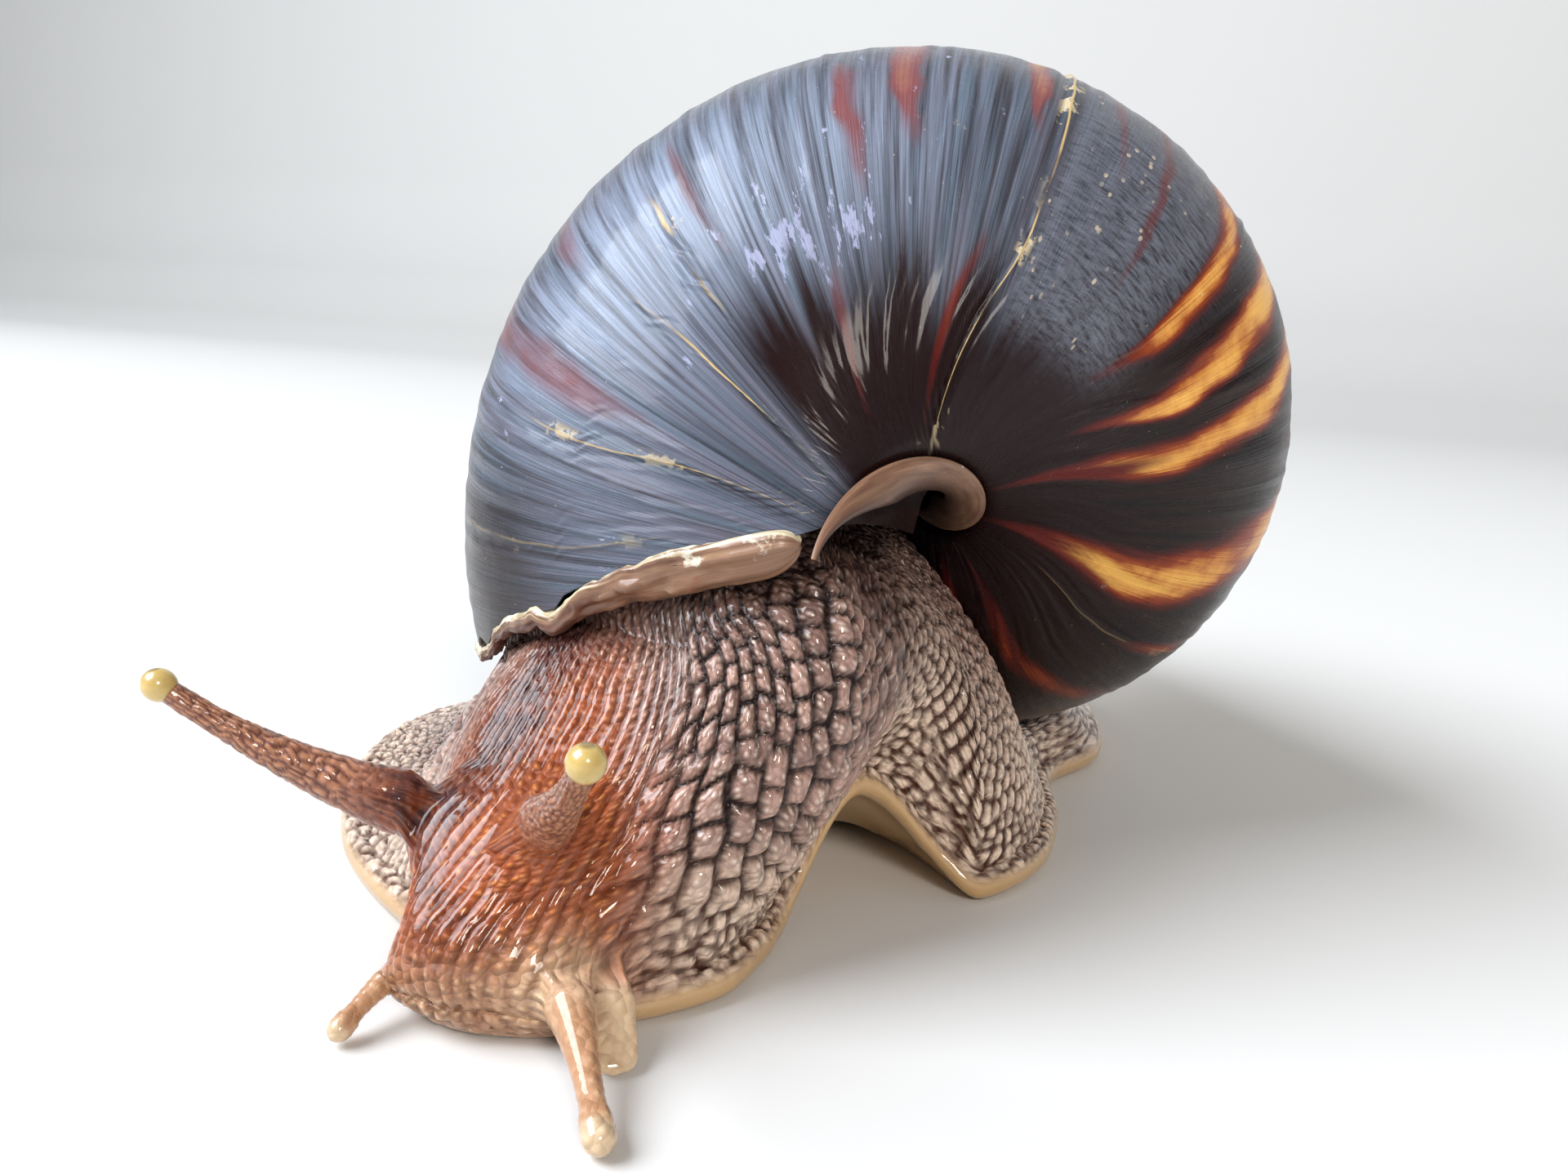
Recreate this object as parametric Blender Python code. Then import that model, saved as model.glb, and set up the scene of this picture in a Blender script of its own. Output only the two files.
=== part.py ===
"""A giant African land snail crawling on a level floor: a still, life-size model.

The animal heads toward -Y, its left side is +X and the sole of its foot lies on z = 0, with the
origin in the middle of the sole. The shell is a self-similar spiral: one whorl curve, turned about
the shell's axis and shrunk toward the apex as it goes back in age. The flesh is one closed skin
from the sole over the fringe and up the flanks into the shell's mouth, parted by thin cuts.
Sizes below are millimetres and degrees; the meshes are in metres.
"""
import bpy
import bmesh
import numpy as np
from mathutils import Vector

MM = 0.001
GAP = 0.3

# ---- shell ----
SHELL_HEIGHT = 106.0            # base of the columella to the apex
WHORL_RATIO = 1.5               # growth in one turn
WHORLS = 6
SUTURE_AT = 0.478               # where on the whorl curve the next whorl is fastened
SHOULDER = (38.9, 39.0)         # whorl curve's control points: distance from the axis, height
BASE_SWELL = (46.9, 5.5)
BASE_RADIUS = 5.7
SHELL_BASE = np.array([19.5, -42.3, 26.4])
SHELL_YAW = 12.2                # the apex swings to the animal's right
SHELL_RISE = 5.7
LIP_DROOP = 26.0                # the lip hangs this far below level
LIP_SETBACK = 3.8               # the lip lies back this far toward the columella
WALL = 1.3
TIP_RISE = 0.9                  # the blunt tip above the first ring of the spire
POCKET_TURN = 62.0              # depth of the mouth, in degrees of the spiral
FUNNEL_DEPTH = 7.0              # hollow in the middle of the base
WHORL_CUTS = (57.0, 80.0)       # heights on the axis where the shell is parted
LIP_THICK = 2.0
LIP_WIDE = 2.6
COLUMELLA_THICK = 1.7
COLUMELLA_TURN = (-35.0, -275.0)
COLUMELLA_STEPS = 22
LIP_STEPS = 26
LIP_LEAST = 0.8                 # thinnest and narrowest the callus gets
SPIRE_ROWS = 5                  # rows of faces across a whorl: above the suture, and below it
BASE_ROWS = 12
TURN_STEPS = 30                 # steps in one turn of the spiral
MOUTH_NARROW = 14.0             # nearer the axis than this, the lip keeps its angle

# ---- flesh ----
RIM_HEIGHT = 2.3                # thickness of the foot's fringe
SOLE_INSET = 1.0
ARCH_HEIGHT = 7.6               # fold of the left fringe lifted off the floor
ARCH_CENTRE = (14.0, -26.8)
ARCH_REACH = 9.5
SHELL_CLEARANCE = 1.2           # from the flesh to the shell above it
MOUTH_MARGIN = 2.7              # from the flesh to the edge of the mouth
PLUG_TURN = 34.0                # how far the flesh goes into the mouth
MOUTH_CENTRE = (18.5, 20.5)     # middle of the mouth: distance from the axis, height

# Stations round the foot, anticlockwise from the front: edge x, y; then how far the lower
# handle goes inward and up, and the upper handle outward and down, to shape the flank there.
STATIONS = np.array([
    (1.0, -50.5, -0.5, 7.0, 6.0, 3.0),
    (7.5, -49.0, 0.5, 6.5, 5.0, 5.0),
    (11.2, -45.0, -0.5, 7.0, 4.0, 6.0),
    (11.9, -39.5, -2.0, 7.0, 5.0, 7.0),
    (11.6, -33.0, -4.5, 6.0, 6.0, 7.0),
    (14.0, -26.5, -4.5, 5.0, 7.0, 7.0),
    (18.0, -23.5, -3.0, 5.0, 8.0, 7.0),
    (22.5, -22.5, -0.5, 5.0, 8.0, 7.0),
    (25.3, -15.0, 1.0, 6.0, 8.0, 8.0),
    (24.8, -5.0, 2.0, 5.0, 8.0, 9.0),
    (22.6, 5.5, 2.0, 5.0, 8.0, 9.0),
    (25.5, 17.0, 4.0, 6.0, 6.0, 10.0),
    (21.5, 33.0, 8.0, 7.0, 4.0, 12.0),
    (12.0, 47.0, 13.0, 8.0, 2.0, 14.0),
    (3.0, 55.0, 28.0, 10.0, 0.0, 14.0),
    (-6.5, 49.0, 13.0, 8.0, 2.0, 14.0),
    (-17.0, 34.0, 8.0, 5.0, 2.0, 12.0),
    (-24.0, 15.0, 8.0, 3.5, 3.0, 10.0),
    (-33.0, -6.0, 9.0, 3.0, 2.0, 7.0),
    (-32.0, -21.5, 10.0, 2.5, 2.0, 5.0),
    (-22.0, -37.5, 7.0, 4.0, 4.0, 4.0),
    (-9.5, -46.5, 0.0, 6.0, 6.5, 3.0),
])

# ---- head ----
HEAD_YAW = 19.0                 # the head turns to the animal's right
HEAD_CENTRE = (0.0, -46.0)
HEAD_MIDDLE = 2.4               # the snout is this far to the left of the head's centre
HEAD_WIDE = (6.6, 7.8)          # on the right of the head's middle line, and on the left
HEAD_BROW = 2.4                 # how much wider the right side is above the mouth
HEAD_BULGE = 7.9
HEAD_LEVEL = 4.4
HEAD_TALL = 7.5
EYE_RADIUS = 1.03
SKIN_SOCKET = 0.3               # room round whatever grows out of the head
FEELER_SINK = 1.6               # how deep the upper feelers stand in the head
LOWER_SINK = 1.2
FEELER_TAPER = 1.6              # power by which an upper feeler thins from its root

# Feelers: root, tip (middle of the bulb or of the rounded end), sag of the middle, root and
# tip radius. The upper pair carry the eyes.
UPPER_TENTACLES = {
    "right": ((-7.4, -49.0, 10.2), (-20.7, -55.6, 17.2), (0.0, 0.0, -0.8), 2.15, 0.56),
    "left": ((0.4, -48.6, 10.4), (10.2, -60.7, 19.6), (0.0, 0.0, -0.8), 2.3, 0.56),
}
LOWER_TENTACLES = {
    "right": ((-4.6, -54.0, 2.7), (-5.3, -58.6, 1.0), (0.0, 0.0, 0.3), 1.2, 0.75),
    "left": ((5.9, -54.4, 2.8), (11.9, -61.0, 1.05), (0.0, 0.0, 0.3), 1.4, 0.82),
}
# Lobes beside the mouth: middle, half sizes across, along and up.
LAPPETS = {
    "right": ((-2.8, -55.6, 1.4), (0.9, 0.6, 1.2)),
    "left": ((8.6, -53.4, 2.1), (1.4, 0.9, 1.9)),
}

HEAD_CUT = -41.0                # parting planes of the flesh
NECK_CUT = 12.0
FOOT_CUTS = (-4.0, 24.0)
FLESH_COLUMNS = 70              # points in each ring of the flesh
FLANK_RINGS = 11


def unit(v):
    v = np.asarray(v, float)
    return v / np.linalg.norm(v, axis=-1, keepdims=True)


def smooth(x):
    x = np.clip(x, 0.0, 1.0)
    return x * x * (3.0 - 2.0 * x)


def bezier(p0, p1, p2, p3, t):
    return ((1 - t) ** 3 * p0 + 3 * (1 - t) ** 2 * t * p1
            + 3 * (1 - t) * t * t * p2 + t ** 3 * p3)


def shell_axes():
    """Unit vectors: along the axis to the apex, from the axis to the lip, and the way of growth."""
    yaw, rise, droop = np.radians([SHELL_YAW, SHELL_RISE, LIP_DROOP])
    axis = np.array([-np.sin(yaw) * np.cos(rise), np.cos(yaw) * np.cos(rise), np.sin(rise)])
    side = np.array([-np.cos(yaw), -np.sin(yaw), 0.0])
    down = np.cross(side, axis)
    lip = np.cos(droop) * side + np.sin(droop) * down
    return axis, lip, np.cross(lip, axis)


AXIS, LIP, GROWTH = shell_axes()


def whorl_curve(t):
    """Distance from the axis and height of the whorl's outline, from its suture to its base."""
    t = np.asarray(t, float)[..., None]
    c, ratio = SUTURE_AT, WHORL_RATIO
    p1, p2, p3 = np.array(SHOULDER), np.array(BASE_SWELL), np.array([BASE_RADIUS, 0.0])
    rest = 3 * (1 - c) ** 2 * c * p1 + 3 * (1 - c) * c * c * p2 + c ** 3 * p3
    apex = np.array([0.0, SHELL_HEIGHT])
    p0 = (apex * (1 - 1 / ratio) + rest / ratio) / (1 - (1 - c) ** 3 / ratio)
    return bezier(p0, p1, p2, p3, t)


def shell_scale(turn):
    return WHORL_RATIO ** (turn / (2 * np.pi))


def shell_place(radius, height, turn):
    """World point of a whorl-curve point (radius, height) carried back by turn (negative)."""
    s = shell_scale(turn)
    r = (radius * s)[..., None]
    w = (SHELL_HEIGHT + (height - SHELL_HEIGHT) * s)[..., None]
    ray = np.cos(turn)[..., None] * LIP + np.sin(turn)[..., None] * GROWTH
    return SHELL_BASE + r * ray + w * AXIS


def lip_turn(t):
    """Where the lip lies: square across the whorl, but lying back beside the columella."""
    t = np.asarray(t, float)
    return -LIP_SETBACK * smooth((t - 0.45) / 0.45) / whorl_curve(t)[..., 0]


def new_material(name, colour, roughness):
    material = bpy.data.materials.new(name)
    material.use_nodes = True
    shader = material.node_tree.nodes["Principled BSDF"]
    shader.inputs["Base Color"].default_value = (*colour, 1.0)
    shader.inputs["Roughness"].default_value = roughness
    shader.inputs["Metallic"].default_value = 0.0
    return material


def clean(bm):
    bmesh.ops.remove_doubles(bm, verts=bm.verts, dist=0.00002)
    bmesh.ops.dissolve_degenerate(bm, edges=bm.edges, dist=0.00001)
    bmesh.ops.recalc_face_normals(bm, faces=bm.faces)


def add_object(name, bm, material):
    bmesh.ops.recalc_face_normals(bm, faces=bm.faces)
    mesh = bpy.data.meshes.new(name)
    bm.to_mesh(mesh)
    bm.free()
    mesh.materials.append(material)
    mesh.shade_smooth()
    mesh.set_sharp_from_angle(angle=np.radians(40))
    obj = bpy.data.objects.new(name, mesh)
    bpy.context.scene.collection.objects.link(obj)
    return obj


def grid_faces(rows, cols, closed=False, start=0):
    """Quads of a rows x cols grid of points numbered from start; closed joins the last column."""
    wide = cols if closed else cols - 1
    return [(start + i * cols + j, start + i * cols + (j + 1) % cols,
             start + (i + 1) * cols + (j + 1) % cols, start + (i + 1) * cols + j)
            for i in range(rows - 1) for j in range(wide)]


def build(points, faces):
    bm = bmesh.new()
    verts = [bm.verts.new(Vector(p * MM)) for p in points]
    for face in faces:
        corners = [verts[i] for i in dict.fromkeys(face)]
        if len(corners) > 2:
            bm.faces.new(corners)
    clean(bm)
    return bm


def slice_between(bm, normal, low, high):
    """Keep what lies between two planes across normal (millimetres), and close the cuts."""
    piece = bm.copy()
    normal = Vector(normal)
    for level, keep_inner in ((low, False), (high, True)):
        if level is None:
            continue
        geometry = piece.verts[:] + piece.edges[:] + piece.faces[:]
        bmesh.ops.bisect_plane(piece, geom=geometry, dist=0.0000001, plane_co=normal * level * MM,
                               plane_no=normal, clear_outer=keep_inner, clear_inner=not keep_inner)
        rim = [e for e in piece.edges if e.is_boundary]
        bmesh.ops.holes_fill(piece, edges=rim, sides=0)
        bmesh.ops.triangulate(piece, faces=[f for f in piece.faces if len(f.verts) > 4])
    return piece


# ---------------------------------------------------------------- shell

def shell_solid():
    """One closed shell: spire, last whorl, funnel in the base, and the pocket behind the lip."""
    step = 2 * np.pi / TURN_STEPS
    t_top = np.linspace(0, SUTURE_AT, SPIRE_ROWS + 1)
    t_all = np.concatenate([t_top, np.linspace(SUTURE_AT, 1, BASE_ROWS + 1)[1:]])
    points, faces = [], []

    curve = whorl_curve(t_top)
    turns = -2 * np.pi * WHORLS + step * np.arange(TURN_STEPS * (WHORLS - 1) + 1)
    spire = shell_place(curve[None, :, 0], curve[None, :, 1], turns[:, None])
    points.append(spire.reshape(-1, 3))
    faces += grid_faces(len(turns), len(t_top))

    curve = whorl_curve(t_all)
    along = np.linspace(0, 1, TURN_STEPS + 1)[:, None]
    short = (LIP_WIDE + GAP) / np.maximum(curve[:, 0], MOUTH_NARROW)
    end = lip_turn(t_all) - short * smooth(t_all / 0.08)
    turn = -2 * np.pi + along * (2 * np.pi + end)
    whorl = shell_place(curve[None, :, 0], curve[None, :, 1], turn)
    base = sum(len(p) for p in points)
    cols = len(t_all)
    points.append(whorl.reshape(-1, 3))
    faces += grid_faces(TURN_STEPS + 1, cols, start=base)

    # funnel: from the rim of the base in to the axis
    rim_turn = turn[:, -1]
    axis_w = SHELL_HEIGHT * (1 - shell_scale(rim_turn)) + FUNNEL_DEPTH
    middle = SHELL_BASE + axis_w[:, None] * AXIS
    axis0 = base + len(points[-1])
    points.append(middle)
    rim = [base + i * cols + cols - 1 for i in range(TURN_STEPS + 1)]
    for i in range(TURN_STEPS):
        faces.append((rim[i], rim[i + 1], axis0 + i + 1, axis0 + i))

    # the mouth's edge: lip, then down the axis, then the inner wall back to the suture
    lip_ids = [base + TURN_STEPS * cols + j for j in range(cols)]
    axis_ids = [axis0 + i for i in range(TURN_STEPS, -1, -1)]
    wall_ids = [base + j for j in range(cols - 1, SPIRE_ROWS, -1)]
    loop_ids = lip_ids + axis_ids + wall_ids
    loop_r = np.concatenate([curve[:, 0], np.zeros(len(axis_ids)),
                             curve[:SPIRE_ROWS:-1, 0] / WHORL_RATIO])
    inner_w = SHELL_HEIGHT + (curve[:SPIRE_ROWS:-1, 1] - SHELL_HEIGHT) / WHORL_RATIO
    loop_w = np.concatenate([curve[:, 1], np.linspace(0, inner_w[0], len(axis_ids)), inner_w])
    loop_turn = np.concatenate([end, np.linspace(end[-1], 0, len(axis_ids)), np.zeros(len(wall_ids))])

    offset = np.stack([loop_r - MOUTH_CENTRE[0], loop_w - MOUTH_CENTRE[1]], -1)
    reach = np.linalg.norm(offset, axis=-1)
    keep = (reach - WALL - 0.6 * smooth((12 - loop_r) / 12)) / reach
    previous = loop_ids
    for k, depth in enumerate(np.linspace(0, POCKET_TURN, 5)):
        r = MOUTH_CENTRE[0] + offset[:, 0] * keep
        w = MOUTH_CENTRE[1] + offset[:, 1] * keep
        ring = shell_place(r, w, loop_turn - np.radians(depth))
        first = sum(len(p) for p in points)
        points.append(ring)
        ids = [first + i for i in range(len(ring))]
        count = len(ids)
        for i in range(count):
            j = (i + 1) % count
            faces.append((previous[i], previous[j], ids[j], ids[i]))
        previous = ids
    centre = sum(len(p) for p in points)
    points.append(ring.mean(0)[None])
    for i in range(count):
        faces.append((previous[i], previous[(i + 1) % count], centre))

    bm = build(np.concatenate(points), faces)
    tip = [e for e in bm.edges if e.is_boundary]
    around = {v for e in tip for v in e.verts}
    middle = sum((v.co for v in around), Vector()) / len(around)
    peak = bm.verts.new(middle + Vector(AXIS) * TIP_RISE * MM)
    for edge in tip:
        bm.faces.new((*edge.verts, peak))
    bmesh.ops.recalc_face_normals(bm, faces=bm.faces)
    bmesh.ops.triangulate(bm, faces=[f for f in bm.faces if len(f.verts) > 4])
    return bm


def add_shell(material):
    solid = shell_solid()
    level = SHELL_BASE @ AXIS
    cuts = [None, *(level + c for c in WHORL_CUTS), None]
    names = ("shell_body_whorl", "shell_upper_whorl", "shell_spire")
    for name, low, high in zip(names, cuts, cuts[1:]):
        low = None if low is None else low + GAP / 2
        high = None if high is None else high - GAP / 2
        add_object(name, slice_between(solid, AXIS, low, high), material)
    solid.free()


def swept_band(centres, across, along, thick, wide, sides=8):
    """A closed bar with an oval section, swept along centres; thick and wide per point."""
    angle = np.linspace(0, 2 * np.pi, sides, endpoint=False)
    ring = (centres[:, None] + np.cos(angle)[None, :, None] * across[:, None] * thick[:, None, None] / 2
            + np.sin(angle)[None, :, None] * along[:, None] * wide[:, None, None] / 2)
    rows = len(centres)
    faces = grid_faces(rows, sides, closed=True)
    faces += [tuple(range(sides)), tuple((rows - 1) * sides + i for i in range(sides))]
    return build(ring.reshape(-1, 3), faces)


def add_lip(material):
    """Thick callus on the edge of the lip, from the suture round to the columella."""
    t = np.linspace(0.11, 0.97, LIP_STEPS)
    curve = whorl_curve(t)
    wide = np.maximum(LIP_WIDE * smooth((1.06 - t) / 0.2), LIP_LEAST)
    turn = lip_turn(t) - wide / 2 / np.maximum(curve[:, 0], MOUTH_NARROW)
    tangent = np.gradient(curve, axis=0)
    outward = unit(np.stack([-tangent[:, 1], tangent[:, 0]], -1))
    ray = np.cos(turn)[:, None] * LIP + np.sin(turn)[:, None] * GROWTH
    across = unit(outward[:, :1] * ray + outward[:, 1:] * AXIS)
    thick = np.maximum(LIP_THICK * smooth((1.1 - t) / 0.25) * smooth((t + 0.1) / 0.3), LIP_LEAST)
    inset = curve - outward * (thick / 2)[:, None]
    centres = shell_place(inset[:, 0], inset[:, 1], turn)
    grow = unit(-np.sin(turn)[:, None] * LIP + np.cos(turn)[:, None] * GROWTH)
    add_object("shell_lip", swept_band(centres, across, grow, thick, wide), material)


def add_columella(material):
    """Pale twisted flange round the funnel in the base."""
    turn = np.radians(np.linspace(*COLUMELLA_TURN, COLUMELLA_STEPS))
    scale = shell_scale(turn)
    ray = np.cos(turn)[:, None] * LIP + np.sin(turn)[:, None] * GROWTH
    rise = COLUMELLA_THICK / 2 + GAP
    height = SHELL_HEIGHT * (1 - scale) - rise
    centres = SHELL_BASE + ray * (BASE_RADIUS * scale)[:, None] + AXIS * height[:, None]
    step = np.arange(COLUMELLA_STEPS)
    end = np.minimum(step, step[::-1]) / 3.0
    thick = COLUMELLA_THICK * (0.45 + 0.55 * smooth(end))
    along = np.tile(AXIS, (COLUMELLA_STEPS, 1))
    add_object("shell_columella", swept_band(centres, ray, along, thick, thick), material)


# ---------------------------------------------------------------- flesh

def round_stations(u, table):
    """Values of a closed smooth curve through the rows of table at u, one unit per row."""
    count = len(table)
    i = np.floor(u).astype(int)
    f = (u - i)[:, None]
    p = [table[(i + k) % count] for k in (-1, 0, 1, 2)]
    return 0.5 * (2 * p[1] + (p[2] - p[0]) * f + (2 * p[0] - 5 * p[1] + 4 * p[2] - p[3]) * f ** 2
                  + (3 * p[1] - p[0] - 3 * p[2] + p[3]) * f ** 3)


def mouth_reach(angle):
    """Distance from MOUTH_CENTRE to the mouth's edge at an angle in the plane of the mouth."""
    t = np.linspace(0, 1, 60)
    outer = whorl_curve(t)
    inner = whorl_curve(np.linspace(1, SUTURE_AT, 40))
    inner = np.array([0, SHELL_HEIGHT]) + (inner - np.array([0, SHELL_HEIGHT])) / WHORL_RATIO
    axis = np.stack([np.zeros(30), np.linspace(0, inner[0, 1], 30)], -1)
    loop = np.concatenate([outer, axis, inner]) - MOUTH_CENTRE
    a = np.arctan2(loop[:, 1], loop[:, 0])
    order = np.argsort(a)
    return np.interp(angle, a[order], np.linalg.norm(loop, axis=1)[order], period=2 * np.pi)


def shell_radius(points):
    """Distance of points from the shell's axis, and the outer shell's radius on the same ray."""
    local = points - SHELL_BASE
    w = local @ AXIS
    x, y = local @ LIP, local @ GROWTH
    turn = np.arctan2(y, x)
    turn = np.where(turn > -0.9, turn - 2 * np.pi, turn)
    s = shell_scale(turn)
    height = SHELL_HEIGHT - (SHELL_HEIGHT - w) / s
    curve = whorl_curve(np.linspace(0, 1, 200))[::-1]
    radius = s * np.interp(height, curve[:, 1], curve[:, 0], left=-1e3)
    low = height < 0
    radius = np.where(low, s * BASE_RADIUS + height * 1.5, radius)
    return np.hypot(x, y), radius, x, y


def press_under_shell(points):
    """Push points that would meet the shell straight out from its axis, to lie against it."""
    distance, radius, x, y = shell_radius(points)
    need = radius + SHELL_CLEARANCE - distance
    soft = np.where(need > -3, (need + 3) ** 2 / 12, 0)
    push = np.where(need > 3, need, soft)
    ray = (x[..., None] * LIP + y[..., None] * GROWTH) / np.maximum(distance, 1e-6)[..., None]
    return points + ray * np.maximum(push, 0)[..., None]


def even_turn(angle):
    """Smooth an angle that falls by one whole turn round a closed row, keeping its slow swings."""
    trend = -np.linspace(0, 2 * np.pi, len(angle), endpoint=False)
    swing = np.fft.rfft(np.unwrap(angle) - trend)
    swing[7:] = 0
    return trend + np.fft.irfft(swing, len(angle))


def flesh_rows(columns):
    """Rows of points from the middle of the sole, round the fringe and up into the mouth."""
    u = np.linspace(0, len(STATIONS), columns, endpoint=False)
    s = round_stations(u, STATIONS)
    edge = s[:, :2]
    tangent = np.roll(edge, -1, 0) - np.roll(edge, 1, 0)
    out = unit(np.stack([tangent[:, 1], -tangent[:, 0]], -1))
    far = np.linalg.norm(edge - ARCH_CENTRE, axis=1)
    arch = ARCH_HEIGHT * (1 - smooth(far / ARCH_REACH))

    def ring(offset, z):
        return np.column_stack([edge + out * offset, arch + z])

    rows = []
    sole = ring(-SOLE_INSET, 0.0)
    for f in (0.45, 0.72, 0.88, 1.0):
        row = sole * np.array([f, f, 1.0])
        row[:, 2] = arch * smooth((f - 0.55) / 0.45)
        rows.append(add_head(row))
    for offset, z in ((0.0, 0.4), (0.3, 1.15), (0.05, 1.9), (-0.6, RIM_HEIGHT)):
        rows.append(add_head(ring(offset, z)))
    foot = ring(-0.6, RIM_HEIGHT)

    centre = SHELL_BASE + MOUTH_CENTRE[0] * LIP + MOUTH_CENTRE[1] * AXIS
    plan = edge - (centre[:2] + np.array([3.0, 0.0]))
    angle = even_turn(np.pi - np.arctan2(plan[:, 1], plan[:, 0]))
    nearby = [mouth_reach(angle + np.radians(k)) for k in range(-35, 36, 5)]
    reach = np.minimum(mouth_reach(angle), np.mean(nearby, axis=0)) - MOUTH_MARGIN
    reach -= 3.0 * np.maximum(np.sin(angle), 0)
    r = MOUTH_CENTRE[0] + reach * np.cos(angle)
    w = MOUTH_CENTRE[1] + reach * np.sin(angle)
    # beside the columella the flesh keeps off the axis
    r = np.maximum(r, BASE_RADIUS * 0.9)
    neck = shell_place(r, w, np.full(columns, -0.02))
    away = unit(np.column_stack([plan, np.zeros(columns)]))
    low = foot - away * s[:, 2:3] + np.array([0, 0, 1.0]) * s[:, 3:4]
    high = neck + away * s[:, 4:5] + GROWTH * s[:, 5:6]
    for t in np.linspace(0, 1, FLANK_RINGS + 1)[1:]:
        row = bezier(foot, low, high, neck, t)
        if t < 0.999:
            row = press_under_shell(row)
        rows.append(add_head(row))
    for part in (0.5, 1.0):
        shrink = 1 - 0.12 * part
        rr = MOUTH_CENTRE[0] + (r - MOUTH_CENTRE[0]) * shrink
        ww = MOUTH_CENTRE[1] + (w - MOUTH_CENTRE[1]) * shrink
        rows.append(shell_place(rr, ww, np.full(columns, -np.radians(PLUG_TURN) * part)))
    return np.array(rows)


def add_head(row):
    """Swell the front of the skin into the head, along the way it faces."""
    yaw = np.radians(HEAD_YAW)
    facing = np.array([-np.sin(yaw), -np.cos(yaw), 0.0])
    side = np.array([np.cos(yaw), -np.sin(yaw), 0.0])
    local = row - np.array([*HEAD_CENTRE, 0.0])
    across = local @ side - HEAD_MIDDLE
    brow = HEAD_BROW * smooth((row[:, 2] - 5.0) / 4.0)
    across = across / np.where(across < 0, HEAD_WIDE[0] + brow, HEAD_WIDE[1])
    ahead = smooth((local @ facing + 4) / 8)
    level = np.exp(-((row[:, 2] - HEAD_LEVEL) / HEAD_TALL) ** 2)
    swell = HEAD_BULGE * np.exp(-np.abs(across) ** 3) * level * ahead
    return row + facing * swell[:, None]


def flesh_solid():
    """The whole flesh as one closed skin, before it is parted."""
    rows = flesh_rows(FLESH_COLUMNS)
    count, columns = rows.shape[:2]
    points = rows.reshape(-1, 3)
    sole_pole = np.array([[0.0, 0.0, 0.0]])
    plug_pole = rows[-1].mean(0)[None]
    faces = grid_faces(count, columns, closed=True)
    last = (count - 1) * columns
    for j in range(columns):
        k = (j + 1) % columns
        faces.append((j, k, count * columns))
        faces.append((last + j, last + k, count * columns + 1))
    return build(np.concatenate([points, sole_pole, plug_pole]), faces)


def tube(path, radii, sides=12):
    """A closed tube with flat ends along path, its section square to the path."""
    tangent = unit(np.gradient(path, axis=0))
    first = unit(np.cross(tangent, [0.0, 0.0, 1.0]))
    second = np.cross(tangent, first)
    angle = np.linspace(0, 2 * np.pi, sides, endpoint=False)
    round_it = (np.cos(angle)[None, :, None] * first[:, None]
                + np.sin(angle)[None, :, None] * second[:, None])
    ring = path[:, None] + radii[:, None, None] * round_it
    rows = len(path)
    faces = grid_faces(rows, sides, closed=True)
    faces += [tuple(range(sides)), tuple((rows - 1) * sides + i for i in range(sides))]
    return build(ring.reshape(-1, 3), faces)


def feeler_path(root, tip, sag, low, high, rows):
    """Points of the feeler's middle line from low to high, 0 at its root and 1 at its tip."""
    t = np.linspace(low, high, rows)[:, None]
    root, tip = np.array(root), np.array(tip)
    middle = (root + tip) / 2 + 2 * np.array(sag)
    return (1 - t) ** 2 * root + 2 * (1 - t) * t * middle + t * t * tip, t[:, 0]


def ball(centre, radii, turn=0.0, rings=8, sides=12):
    """An ellipsoid, turned about the vertical."""
    bm = bmesh.new()
    bmesh.ops.create_uvsphere(bm, u_segments=sides, v_segments=rings, radius=1.0)
    c, s = np.cos(turn), np.sin(turn)
    for vert in bm.verts:
        x, y, z = (vert.co[i] * radii[i] for i in range(3))
        vert.co = Vector((centre[0] + c * x - s * y, centre[1] + s * x + c * y, centre[2] + z)) * MM
    return bm


def cut_out(obj, name, bm):
    """Cut the shape in bm out of obj, with a hidden cutter."""
    mesh = bpy.data.meshes.new(name)
    bm.to_mesh(mesh)
    bm.free()
    cutter = bpy.data.objects.new(name, mesh)
    bpy.context.scene.collection.objects.link(cutter)
    cutter.hide_render = True
    cutter.display_type = "WIRE"
    cut = obj.modifiers.new(name, "BOOLEAN")
    cut.operation = "DIFFERENCE"
    cut.solver = "EXACT"
    cut.object = cutter


def add_flesh(material):
    """The flesh, parted by thin cuts into head, neck, foot and tail."""
    solid = flesh_solid()
    yaw = np.radians(HEAD_YAW)
    ahead = np.array([-np.sin(yaw), -np.cos(yaw), 0.0])
    head_level = ahead @ np.array([0.0, HEAD_CUT, 0.0])
    up, back = np.array([0.0, 0.0, 1.0]), np.array([0.0, 1.0, 0.0])
    half = GAP / 2
    head = add_object("head", slice_between(solid, ahead, head_level + half, None), material)
    body = slice_between(solid, ahead, None, head_level - half)
    add_object("neck", slice_between(body, up, NECK_CUT + half, None), material)
    foot = slice_between(body, up, None, NECK_CUT - half)
    front, rear = FOOT_CUTS
    lengths = (("foot_front", None, front - half), ("foot_middle", front + half, rear - half),
               ("tail", rear + half, None))
    for name, low, high in lengths:
        add_object(name, slice_between(foot, back, low, high), material)
    for bm in (solid, body, foot):
        bm.free()
    return head


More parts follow.
